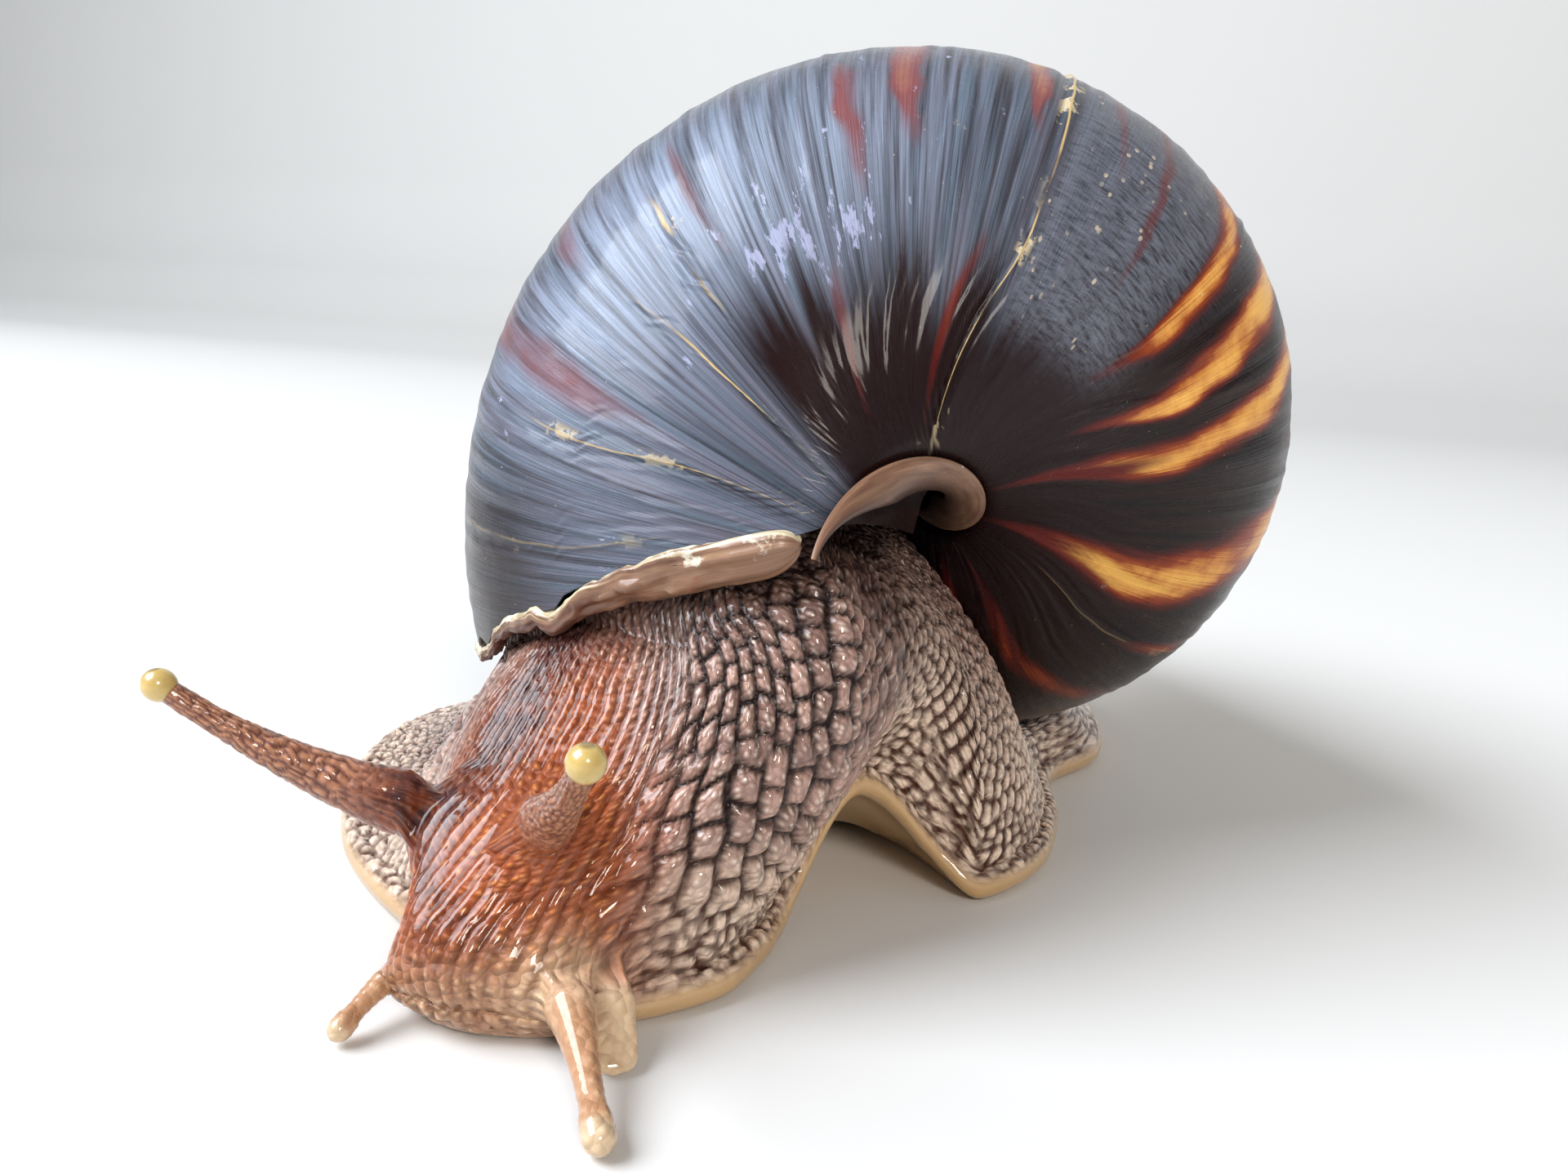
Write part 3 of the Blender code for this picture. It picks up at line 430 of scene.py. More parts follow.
def add_last_whorl(material):
    """The last whorl: the outline carried once round the axis, with growth ridges; then the funnel
    in the base, the lining of the mouth, and a lid under the spire, which close it."""
    split = 30                      # the column that lies on the suture of the next whorl
    t = np.concatenate([np.linspace(0, SUTURE_AT, split + 1),
                        np.linspace(SUTURE_AT, 1, BASE_ROWS - split)[1:]])
    cols = len(t)
    along = np.linspace(0, 1, TURN_STEPS + 1)[:, None]
    chips = 0.5 * wander(t * 26, 0 * t, 41) + 0.35 * wander(t * 61, 0 * t, 42)
    chips *= smooth(t / 0.06) * smooth((0.97 - t) / 0.1)
    near_axis = np.maximum(whorl_curve(t)[:, 0], MOUTH_NARROW)
    end = lip_turn(t) + (chips - 1.2) / near_axis * smooth(t / 0.05)
    turn = -2 * np.pi + along * (2 * np.pi + end)
    turn = turn + line_lean(turn, t) * smooth(along / 0.1) * smooth((1 - along) / 0.1)
    t2 = np.broadcast_to(t, turn.shape)
    height, values = shell_values(turn, t2)
    edge = smooth((end - turn) * OUTER_RADIUS / 5.0)
    height *= edge * smooth(t2 / 0.02) * smooth((1 - t2) / 0.02) * smooth((turn + 2 * np.pi) / 0.02)
    height += suture_relief(t2) * smooth(t2 / 0.01) * smooth((turn + 2 * np.pi) / 0.3)
    curve = whorl_curve(t2)
    outer = shell_place(curve[..., 0], curve[..., 1], turn)
    outer = outer + whorl_outward(t2, turn) * (height * shell_scale(turn))[..., None]
    points = [outer.reshape(-1, 3)]
    faces = [grid_faces(TURN_STEPS + 1, cols)]
    keep = {k: [v.reshape(-1)] for k, v in values.items()}
    uv = [shell_uv(turn, t2)]
    count = [len(points[0])]

    def more(extra, **given):
        """Add points with their values, 0 where none is given, and say where they start."""
        first = count[0]
        points.append(extra)
        count[0] += len(extra)
        for k in keep:
            keep[k].append(np.broadcast_to(given.get(k, 0.0), len(extra)).astype(float))
        uv.append(given.get("uv", np.zeros((len(extra), 2))))
        return first

    # funnel: rings that narrow from the rim of the base down to the axis
    rim_turn = turn[:, -1]
    depth = np.linspace(0, 1, FUNNEL_RINGS + 1)[1:]
    rows = []
    for d in depth:
        width = BASE_RADIUS * (1 - d) ** 0.8
        drop = FUNNEL_DEPTH * (1 - (1 - d) ** 1.7)
        s = shell_scale(rim_turn)
        axis_w = SHELL_HEIGHT * (1 - s) + drop
        rows.append(SHELL_BASE + ray_at(rim_turn) * (width * s)[:, None] + axis_w[:, None] * AXIS)
    funnel = np.stack(rows, 1)
    spread = np.stack([np.repeat(rim_turn * OUTER_RADIUS / 100, FUNNEL_RINGS),
                       np.tile(0.9 + 0.1 * depth, len(rim_turn))], -1)
    # inside marks where the finish paints shade: the funnel here, the lining of the mouth below
    first = more(funnel.reshape(-1, 3), inside=0.6, uv=spread)
    rim = np.arange(TURN_STEPS + 1) * cols + cols - 1
    ids = np.column_stack([rim, first + np.arange(len(spread)).reshape(-1, FUNNEL_RINGS)])
    faces.append(np.stack([ids[:-1, :-1], ids[:-1, 1:], ids[1:, 1:], ids[1:, :-1]], -1).reshape(-1, 4))
    axis_ids = ids[::-20, -1]

    # mouth: the lip's edge, down the axis and back along the inner wall, carried back and closed
    lip_ids = TURN_STEPS * cols + np.arange(cols)
    funnel_lip = ids[-1, 1:-1]
    funnel_wall = ids[0, -2:0:-1]
    wall_ids = np.arange(cols - 1, split - 1, -1)
    loop = np.concatenate([lip_ids, funnel_lip, axis_ids, funnel_wall, wall_ids])
    local = np.concatenate(points)[loop] - SHELL_BASE
    loop_w = local @ AXIS
    here = np.concatenate([end, np.full(len(funnel_lip), end[-1]), np.linspace(end[-1], 0, len(axis_ids)),
                           np.zeros(len(funnel_wall) + len(wall_ids))])
    radius = np.hypot(local @ LIP, local @ GROWTH)
    s = shell_scale(here)
    plane = np.stack([radius / s, SHELL_HEIGHT + (loop_w - SHELL_HEIGHT) / s], -1)
    offset = plane - MOUTH_CENTRE
    reach = np.linalg.norm(offset, axis=-1)
    previous = loop
    for k, degrees in enumerate(MOUTH_RINGS):
        wall = WALL * min(1.0, 0.4 + 0.3 * k) + 0.6 * smooth((12 - plane[:, 0]) / 12)
        shrunk = MOUTH_CENTRE + offset * ((reach - wall) / reach)[:, None]
        ring = shell_place(shrunk[:, 0], shrunk[:, 1], here - np.radians(degrees))
        # the mouth's lining gets the full painted shade
        first = more(ring, inside=1.0, uv=np.column_stack([here * 0.34, reach / 90]))
        ids = first + np.arange(len(ring))
        faces.append(np.stack([previous, np.roll(previous, -1), np.roll(ids, -1), ids], -1))
        previous = ids
    centre = more(ring.mean(0)[None], inside=1.0)
    faces.append(fan_faces(previous, centre))

    # lid under the spire
    lid = np.concatenate([np.arange(0, TURN_STEPS + 1)[::-1] * cols, np.arange(1, split + 1)])
    middle = SHELL_BASE + AXIS * (SHELL_HEIGHT * (1 - 1 / WHORL_RATIO) + LID_RISE)
    centre = more(middle[None])
    faces.append(fan_faces(lid, centre))
    add_piece("shell_last_whorl", np.concatenate(points), np.concatenate(faces), material,
              ("shell_body_whorl", "shell_upper_whorl"),
              {k: np.concatenate(v) for k, v in keep.items()}, np.concatenate(uv))


def add_spire(material):
    """The older whorls: the upper part of the outline carried on round the axis to the apex."""
    t = np.linspace(0, SUTURE_AT, SPIRE_ROWS)
    steps = np.arange(SPIRE_STEPS * (WHORLS - 1) + 1)[:, None]
    turn, t2 = np.broadcast_arrays(-2 * np.pi * WHORLS + 2 * np.pi / SPIRE_STEPS * steps, t)
    height, values = shell_values(turn, t2)
    height = (height + suture_relief(t2)) * smooth(t2 / 0.02) * smooth((SUTURE_AT - t2) / 0.02)
    height *= smooth((-2 * np.pi - turn) / 0.02)
    curve = whorl_curve(t2)
    place = shell_place(curve[..., 0], curve[..., 1], turn)
    place = place + whorl_outward(t2, turn) * (height * shell_scale(turn))[..., None]
    count = place.shape[0] * SPIRE_ROWS
    tip = place[:SPIRE_STEPS, 0].mean(0)[None] + AXIS * 0.9
    middle = SHELL_BASE + AXIS * (SHELL_HEIGHT * (1 - 1 / WHORL_RATIO) + LID_RISE + 0.5)
    points = np.concatenate([place.reshape(-1, 3), tip, middle[None]])
    last_turn = np.arange(SPIRE_STEPS * (WHORLS - 2), SPIRE_STEPS * (WHORLS - 1) + 1) * SPIRE_ROWS
    loop = np.concatenate([last_turn + SPIRE_ROWS - 1, last_turn[-1] + np.arange(SPIRE_ROWS - 2, 0, -1)])
    start = np.concatenate([np.arange(SPIRE_ROWS)[::-1], np.arange(1, SPIRE_STEPS) * SPIRE_ROWS])
    faces = [grid_faces(len(turn), SPIRE_ROWS), fan_faces(loop, count + 1), fan_faces(start, count)]
    values = {k: np.append(v.reshape(-1), [0, 0]) for k, v in values.items()}
    add_piece("shell_spire_whorls", points, np.concatenate(faces), material,
              ("shell_spire",), values, np.concatenate([shell_uv(turn, t2), np.zeros((2, 2))]))


SQUARENESS = 0.75               # power that squares the callus's section; 1 would be an oval


def swept_band(centres, across, along, section):
    """A bar swept along centres; section holds, for each centre and each step round it, how far
    the surface lies across and along. Both ends are closed."""
    ring = centres[:, None] + section[..., :1] * across[:, None] + section[..., 1:] * along[:, None]
    rows, sides = ring.shape[:2]
    points = np.concatenate([ring.reshape(-1, 3), ring[0].mean(0)[None], ring[-1].mean(0)[None]])
    faces = [grid_faces(rows, sides, closed=True),
             fan_faces(np.arange(sides)[::-1], rows * sides),
             fan_faces((rows - 1) * sides + np.arange(sides), rows * sides + 1)]
    return points, np.concatenate(faces)


def add_lip(material):
    """Thick chipped callus on the lip's edge: an oval section that swells, thins and breaks off in
    flakes along the edge, from the suture round to the columella."""
    rows, sides = 620, 44
    part = np.linspace(0, 1, rows)
    t = 0.06 + np.minimum(part, 0.97) * 0.925
    chips = 0.3 * np.tanh(6 * wander(t * 22, 0 * t, 41)) + 0.2 * wander(t * 61, 0 * t, 42)
    chips *= smooth(t / 0.06) * smooth((0.97 - t) / 0.1)
    butt = np.sqrt(np.clip(1 - np.clip((part - 0.982) / 0.018, 0, 1) ** 2, 0.02, 1))
    slab = smooth((t - 0.70) / 0.22)
    wide = (1.1 + 1.7 * slab) * (0.8 + 0.2 * wander(t * 17, 0 * t, 43)) * smooth((t + 0.2) / 0.5) * butt
    thick = (1.2 + 1.4 * slab) * (0.85 + 0.15 * wander(t * 13, 0 * t, 44)) * smooth((t + 0.02) / 0.3) * butt
    curve = whorl_curve(t)
    back = chips - 0.1 - 0.35 * (1 - slab) - wide * 0.5
    turn = lip_turn(t) + back / np.maximum(curve[:, 0], MOUTH_NARROW)
    across = whorl_outward(t, turn)
    inset = thick * 0.5 - 0.22
    grow = unit(-np.sin(turn)[:, None] * LIP + np.cos(turn)[:, None] * GROWTH)
    centres = shell_place(curve[:, 0], curve[:, 1], turn) - across * inset[:, None]
    centres += grow * (0.7 * smooth((t - 0.8) / 0.15))[:, None]
    held = np.searchsorted(part, 0.955)
    ahead = unit(centres[held] - centres[held - 12])
    gone = np.clip(part - part[held], 0, None)[:, None] / (1 - part[held])
    along_end = centres[held] + ahead * gone * LIP_OVERHANG
    centres = np.where(gone > 0, along_end, centres)
    across = np.where(gone > 0, across[held], across)
    grow = np.where(gone > 0, grow[held], grow)
    angle = np.linspace(0, 2 * np.pi, sides, endpoint=False)
    c, s = np.cos(angle), np.sin(angle)
    down = t[:, None]
    rough = 0.10 * wander(down * 90, angle * 3.0, 45) + 0.06 * wander(down * 210, angle * 6.0, 46)
    rough = rough + 0.22 * slab[:, None] * (0.7 + np.tanh(3 * wander(down * 55, angle * 1.5, 47)))
    section = np.stack([np.sign(c) * np.abs(c) ** SQUARENESS * (thick[:, None] / 2 + rough),
                        np.sign(s) * np.abs(s) ** SQUARENESS * (wide[:, None] / 2 + rough)], -1)
    points, faces = swept_band(centres, across, grow, section)
    outer = 0.44 + 0.05 * c - 0.525 * s
    edge = np.append(np.broadcast_to(outer, rough.shape).reshape(-1), [0, 0])
    flake = np.append((rough * 5 + 0.5).reshape(-1), [0, 0])
    span = np.append(np.repeat(t, sides), [0, 1])
    uv = np.stack([span * 1.3, np.append(np.tile(angle * 0.01, rows), [0, 0])], -1)
    add_piece("shell_lip_callus", points, faces, material, ("shell_lip",),
              {"outer": edge, "flake": flake, "span": span, "deep": 0 * span}, uv)


def add_columella(material):
    """Pale twisted flange round the funnel: a leaf-shaped section, thick and rounded at its outer
    rim and thin where it dips into the funnel, carried round the axis and narrowing at both ends."""
    rows, sides = 320, 44
    turn = np.radians(np.linspace(-28.0, -312.0, rows))
    scale = shell_scale(turn)
    ray = ray_at(turn)
    part = np.linspace(0, 1, rows)
    body = smooth(part / 0.22) * smooth((1 - part) / 0.16)
    curl = smooth((part - 0.62) / 0.38)
    radius = (BASE_RADIUS - 0.35 - 1.0 * curl) * scale
    height = SHELL_HEIGHT * (1 - scale) - 0.1 - 0.35 * body + 1.2 * curl
    rim = SHELL_BASE + ray * radius[:, None] + AXIS * height[:, None]
    tilt = np.radians(40.0 + 25.0 * curl)[:, None]
    inward = -ray * np.cos(tilt) + AXIS * np.sin(tilt)
    outward = -(ray * np.sin(tilt) + AXIS * np.cos(tilt))
    angle = np.linspace(0, 2 * np.pi, sides, endpoint=False)
    reach = 0.5 + (3.0 + 0.9 * smooth((part - 0.45) / 0.3)) * body
    thick = 0.30 + 0.75 * body
    inner = 0.5 - 0.5 * np.cos(angle)
    half = np.sin(angle) * (0.62 - 0.42 * inner)
    hollow = 0.16 * reach[:, None] * np.sin(np.pi * inner)
    section = np.stack([inner * reach[:, None] - 0.35, half * thick[:, None] + hollow], -1)
    points, faces = swept_band(rim, inward, outward, section)

    def spread(values, first, last):
        """The values over the whole bar, and one for each of its two ends."""
        return np.append(np.broadcast_to(values, (rows, sides)).reshape(-1), [first, last])

    uv = np.stack([spread(part[:, None], 0, 1) * 0.5, spread(angle * 0.01, 0, 0)], -1)
    # deep: how much painted shade the flange gets, growing toward the funnel
    add_piece("shell_columella_flange", points, faces, material, ("shell_columella",),
              {"outer": spread(0.46, 0, 0), "flake": spread(0.25, 0, 0), "span": spread(1.0, 1, 1),
               "deep": spread(inner, 1, 1)}, uv)


# ---------------------------------------------------------------- flesh

def round_stations(u, table):
    """Values of a closed smooth curve through the rows of table at u, one unit per row."""
    count = len(table)
    i = np.floor(u).astype(int)
    f = (u - i)[:, None]
    p = [table[(i + k) % count] for k in (-1, 0, 1, 2)]
    return 0.5 * (2 * p[1] + (p[2] - p[0]) * f + (2 * p[0] - 5 * p[1] + 4 * p[2] - p[3]) * f ** 2
                  + (3 * p[1] - p[0] - 3 * p[2] + p[3]) * f ** 3)


def mouth_reach(angle):
    """Distance from MOUTH_CENTRE to the mouth's edge at an angle in the plane of the mouth."""
    t = np.linspace(0, 1, 60)
    outer = whorl_curve(t)
    inner = whorl_curve(np.linspace(1, SUTURE_AT, 40))
    apex = np.array([0, SHELL_HEIGHT])
    inner = apex + (inner - apex) / WHORL_RATIO
    axis = np.stack([np.zeros(30), np.linspace(0, inner[0, 1], 30)], -1)
    loop = np.concatenate([outer, axis, inner]) - MOUTH_CENTRE
    a = np.arctan2(loop[:, 1], loop[:, 0])
    order = np.argsort(a)
    return np.interp(angle, a[order], np.linalg.norm(loop, axis=1)[order], period=2 * np.pi)


def press_under_shell(points):
    """Push points that would meet the shell straight out from its axis, to lie against it."""
    local = points - SHELL_BASE
    w = local @ AXIS
    x, y = local @ LIP, local @ GROWTH
    turn = np.arctan2(y, x)
    turn = np.where(turn > -0.9, turn - 2 * np.pi, turn)
    s = shell_scale(turn)
    height = SHELL_HEIGHT - (SHELL_HEIGHT - w) / s
    curve = whorl_curve(np.linspace(0, 1, 200))[::-1]
    radius = s * np.interp(height, curve[:, 1], curve[:, 0], left=-1e3)
    radius = np.where(height < 0, s * BASE_RADIUS + height * 1.5, radius)
    distance = np.hypot(x, y)
    need = radius + SHELL_CLEARANCE - distance
    soft = np.where(need > -3, (need + 3) ** 2 / 12, 0)
    push = np.where(need > 3, need, soft)
    ray = (x[..., None] * LIP + y[..., None] * GROWTH) / np.maximum(distance, 1e-6)[..., None]
    return points + ray * np.maximum(push, 0)[..., None]


def even_turn(angle):
    """Smooth an angle that falls by one whole turn round a closed row, keeping its slow swings."""
    trend = -np.linspace(0, 2 * np.pi, len(angle), endpoint=False)
    swing = np.fft.rfft(np.unwrap(angle) - trend)
    swing[7:] = 0
    return trend + np.fft.irfft(swing, len(angle))


def foot_edge(u):
    """The foot's edge at u: its points, the way out from it, and how far it is lifted."""
    s = round_stations(u, STATIONS)
    ahead = round_stations(u + 0.02, STATIONS)[:, :2] - round_stations(u - 0.02, STATIONS)[:, :2]
    out = unit(np.stack([ahead[:, 1], -ahead[:, 0]], -1))
    far = np.linalg.norm(s[:, :2] - ARCH_CENTRE, axis=1)
    return s, out, ARCH_HEIGHT * (1 - smooth(far / ARCH_REACH))


def mouth_ring(u):
    """Where the flesh goes through the mouth at u: distance from the shell's axis and height."""
    even = np.linspace(0, len(STATIONS), 352, endpoint=False)
    edge = round_stations(even, STATIONS)[:, :2]
    centre = SHELL_BASE + MOUTH_CENTRE[0] * LIP + MOUTH_CENTRE[1] * AXIS
    plan = edge - (centre[:2] + np.array([3.0, 0.0]))
    angle = even_turn(np.pi - np.arctan2(plan[:, 1], plan[:, 0]))
    nearby = [mouth_reach(angle + np.radians(k)) for k in range(-35, 36, 5)]
    reach = np.minimum(mouth_reach(angle), np.mean(nearby, axis=0)) - MOUTH_MARGIN
    reach -= 3.0 * np.maximum(np.sin(angle), 0)
    r = np.maximum(MOUTH_CENTRE[0] + reach * np.cos(angle), BASE_RADIUS * 0.9)
    w = MOUTH_CENTRE[1] + reach * np.sin(angle)
    plan_at = np.stack([np.interp(u, even, column, period=len(STATIONS)) for column in (r, w, *plan.T)])
    return plan_at[0], plan_at[1], plan_at[2:].T


def head_axes():
    """Unit vectors the way the head faces, and from its middle line to the animal's left."""
    yaw = np.radians(HEAD_YAW)
    return (np.array([-np.sin(yaw), -np.cos(yaw), 0.0]), np.array([np.cos(yaw), -np.sin(yaw), 0.0]))


def from_head(points):
    """How far points lie ahead of the head's centre and across from it."""
    facing, side = head_axes()
    local = points[..., :2] - np.array(HEAD_CENTRE)
    return local @ facing[:2], local @ side[:2]


def snout_share(edge):
    """1 where the foot's edge lies under the snout, 0 beyond it."""
    ahead, across = from_head(edge)
    return smooth((9.8 - np.abs(across)) / 3.5) * smooth((ahead + 3) / 4)


def add_head(row):
    """Swell the front of the skin into the head, along the way it faces."""
    ahead, across = from_head(row)
    z = row[..., 2]
    across = across - HEAD_MIDDLE
    across = across / np.where(across < 0, HEAD_WIDE[0] + HEAD_BROW * smooth((z - 5.0) / 4.0), HEAD_WIDE[1])
    level = np.exp(-((z - HEAD_LEVEL) / HEAD_TALL) ** 2) * (0.95 + 0.05 * smooth(z / 1.5))
    swell = HEAD_BULGE * np.exp(-np.abs(across) ** 3) * level * smooth((ahead + 4) / 8)
    return row + head_axes()[0] * swell[..., None]


SOLE_PARTS = (0.25, 0.5, 0.72, 0.86, 0.95, 1.0)
RIM_STEPS = 9
FLANK_STEPS = 98
PLUG_PARTS = np.concatenate([np.linspace(0, 0.42, 15)[1:], [0.55, 0.75, 1.0]])


def flesh_rows(u):
    """Rows of points from the middle of the sole, round the fringe and up into the mouth: rows are
    rings round the body, and each column is one line up the skin, a cubic bezier on the flank."""
    s, out, arch = foot_edge(u)
    edge = s[:, :2]

    def ring(offset, z):
        """The foot's edge moved out by offset and raised by z, over the arch."""
        return np.column_stack([edge + out * np.reshape(offset, (-1, 1)), arch + z])

    rows = []
    sole = ring(-SOLE_INSET, 0.0)
    for f in SOLE_PARTS:
        row = sole * np.array([f, f, 1.0])
        row[:, 2] = arch * smooth((f - 0.55) / 0.45)
        rows.append(row)
    for angle in np.pi * np.linspace(0, 1, RIM_STEPS + 1)[1:] ** 0.6 - np.pi / 2:
        bulge = 1.3 - 1.0 * snout_share(edge)
        rows.append(ring(-SOLE_INSET + bulge * np.cos(angle), RIM_HEIGHT * (0.5 + 0.5 * np.sin(angle))))
    foot = rows[-1]
    r, w, plan = mouth_ring(u)
    profile = whorl_curve(np.linspace(0, 1, 200))[::-1]
    back = lip_turn(np.interp(w, profile[:, 1], np.linspace(1, 0, 200)))
    ring_turn = -0.02 + np.maximum(back, -0.2) * smooth((r - MOUTH_CENTRE[0] + 4.0) / 9.0)
    neck = shell_place(r, w, ring_turn)
    away = unit(np.column_stack([plan, np.zeros(len(u))]))
    low = foot - away * s[:, 2:3] + np.array([0, 0, 1.0]) * s[:, 3:4]
    high = neck + away * s[:, 4:5] + GROWTH * s[:, 5:6]
    for t in np.linspace(0, 1, FLANK_STEPS + 1)[1:]:
        row = bezier(foot, low, high, neck, t)
        if t < 0.999:
            row = press_under_shell(row)
        rows.append(row)
    for part in PLUG_PARTS:
        shrink = 1 - 0.12 * part
        rr = MOUTH_CENTRE[0] + (r - MOUTH_CENTRE[0]) * shrink
        ww = MOUTH_CENTRE[1] + (w - MOUTH_CENTRE[1]) * shrink
        rows.append(shell_place(rr, ww, ring_turn - np.radians(PLUG_TURN) * part))
    rows = np.array(rows)
    body = len(rows) - len(PLUG_PARTS)
    rows[:body] = add_head(rows[:body])
    return rows


def column_places(count):
    """Where the skin's columns stand: close together on the head and the left flank, which have
    the finest relief, and twice as far apart on the far side."""
    span = len(STATIONS)
    u = FIRST_STATION + np.linspace(0, span, 1761)
    rows = flesh_rows(u)[len(SOLE_PARTS) + RIM_STEPS:-len(PLUG_PARTS):6]
    step = np.linalg.norm(np.diff(rows, axis=1), axis=-1)
    step = np.mean(np.sort(step, axis=0)[-8:], axis=0)
    middle = (u[1:] + u[:-1]) / 2
    fine = (0.65 + 0.35 * smooth((middle - 18.2) / 1.2)) * smooth((32.6 - middle) / 1.5)
    weight = np.append(0, np.cumsum(step * (0.22 + 0.78 * fine)))
    return np.interp(np.linspace(0, weight[-1], count + 1)[:-1], weight, u)


SKIN_COLUMNS = 650


def skin_normals(rows):
    """Unit vectors square to a grid of points that closes on itself across."""
    across = np.roll(rows, -1, 1) - np.roll(rows, 1, 1)
    up = np.gradient(rows, axis=0)
    return unit(np.cross(across, up))


HEAD_START = 50.0               # millimetres round the body, from the skin's first column
HEAD_END = 76.5
REAR_START = 94.0


def files(a, b, wide, long, seed):
    """Blocks stacked in files: distance in millimetres to the file's side and to the block's end,
    and a random tone for each block. a counts across the files and b along them."""
    x = a / wide
    k = np.floor(x)
    rng = np.random.default_rng(seed)
    start = 0.5 * (k % 2) + 0.24 * rng.uniform(-1, 1, 512)[k.astype(int) % 512]
    y = b / long + start + 0.18 * wander(k * 1.7, b / long, seed + 1)
    n = np.floor(y)
    tone = rng.uniform(0, 1, (512, 64))[k.astype(int) % 512, n.astype(int) % 64]
    side = (0.5 - np.abs(x - k - 0.5)) * wide
    end = (0.5 - np.abs(y - n - 0.5)) * long
    return side, end, tone


def rounded(side, end):
    """Distance to the nearer edge of a block, easing round its corners."""
    return (np.maximum(side, 1e-3) ** -1.9 + np.maximum(end, 1e-3) ** -1.9) ** (-1 / 1.9)


def pillow(edge, soft):
    """Height from 0 at a block's edge to 1 at the distance soft inside it."""
    return 1 - (1 - np.clip(edge / soft, 0, 1)) ** 2


def crack(edge, wide):
    """1 in the groove at a block's edge, 0 beyond the distance wide."""
    return 1 - smooth((edge - 0.09) / wide)


def skin_pattern(a, b):
    """Relief and colour masks of the skin from a, millimetres round the body, and b, millimetres
    up from the fringe. Pillows stacked in files on the flank, narrower under the lip, beaded
    lengthwise ridges on the head, slim slanting ones toward the tail, small pebbles by the fringe."""
    ragged = 0.9 * wander(a / 3, b / 3, 50)
    front = smooth((HEAD_END - a + ragged) / 3.0) * smooth((a - HEAD_START + ragged) / 3.0)
    rear = np.maximum(smooth((a - REAR_START + ragged) / 5.0), smooth((10.0 - a + ragged) / 6.0))
    high = smooth((b - 12.0 + ragged) / 2.5)
    bend = 0.9 * wander(a / 8, b / 6, 51) + 0.42 * wander(a / 2.4, b / 2.2, 57)
    lift = 0.80 * wander(a / 5, b / 8, 52) + 0.42 * wander(a / 2, b / 2.4, 58)
    height, groove, tone = 0.0, 0.0, 0.0
    # share of the skin; files; relief, softness and crack of the pillows
    for share, (side, end, shade), rise, soft, wide in (
            ((1 - high) * (1 - rear), files(a + bend, b + lift, 2.0, 2.5, 53), 0.80, 0.72, 0.24),
            (high * (1 - rear), files(a + bend, b + lift, 1.45, 2.1, 59), 0.58, 0.55, 0.21),
            (rear, files(a - 0.35 * b + bend, b + 0.6 * (a - REAR_START) + lift, 1.05, 1.7, 61),
             0.42, 0.42, 0.18)):
        edge = rounded(side, end)
        height = height + share * rise * pillow(edge, soft)
        groove = groove + share * crack(edge, wide)
        tone = tone + share * shade
    side, end, shade = files(a + 0.45 * bend, b + lift, 0.86, 1.5, 62)
    ridge = 0.30 * pillow(side, 0.34) - 0.07 * np.exp(-(end / 0.2) ** 2)
    seam = 0.75 * crack(side, 0.17) + 0.15 * np.exp(-(end / 0.15) ** 2)
    small, small_tone = cells(a / 1.1 + 0.3 * wander(a / 3, b / 3, 54), b / 1.1, 55)
    small = small * 1.1
    reach = 4.2 + 1.6 * wander(a / 5, 0 * a, 56) + 6.0 * smooth((HEAD_START - a) / 6.0)
    near = smooth((reach - b + 0.9 * ragged) / 1.4) * (1 - front) + smooth((1.5 - b) / 2.0) * front
    height = height * (1 - front) + ridge * front
    groove = groove * (1 - front) + seam * front
    tone = tone * (1 - front) + shade * front
    height = height * (1 - 0.75 * near) + 0.26 * near * pillow(small, 0.40)
    groove = groove * (1 - 0.75 * near) + 0.8 * near * crack(small, 0.16)
    return height - 0.2, {"groove": groove, "tone": tone * (1 - near) + small_tone * near}


def feeler_roots():
    """The first half of the middle line of each feeler and lobe, its size at the root, and how
    many times that size the skin is drawn out along it."""
    lines = []
    for kind, lift in ((UPPER_TENTACLES, 0.8), (LOWER_TENTACLES, 0.9)):
        for root, tip, sag, thick, _ in kind.values():
            lines.append((feeler_path(root, tip, sag, 0.5, 40)[0], thick, lift))
    for root, tip, wide, _ in LOBES:
        lines.append((feeler_path(root, tip, NO_SAG, 0.5, 40)[0], wide, 0.5))
    return lines


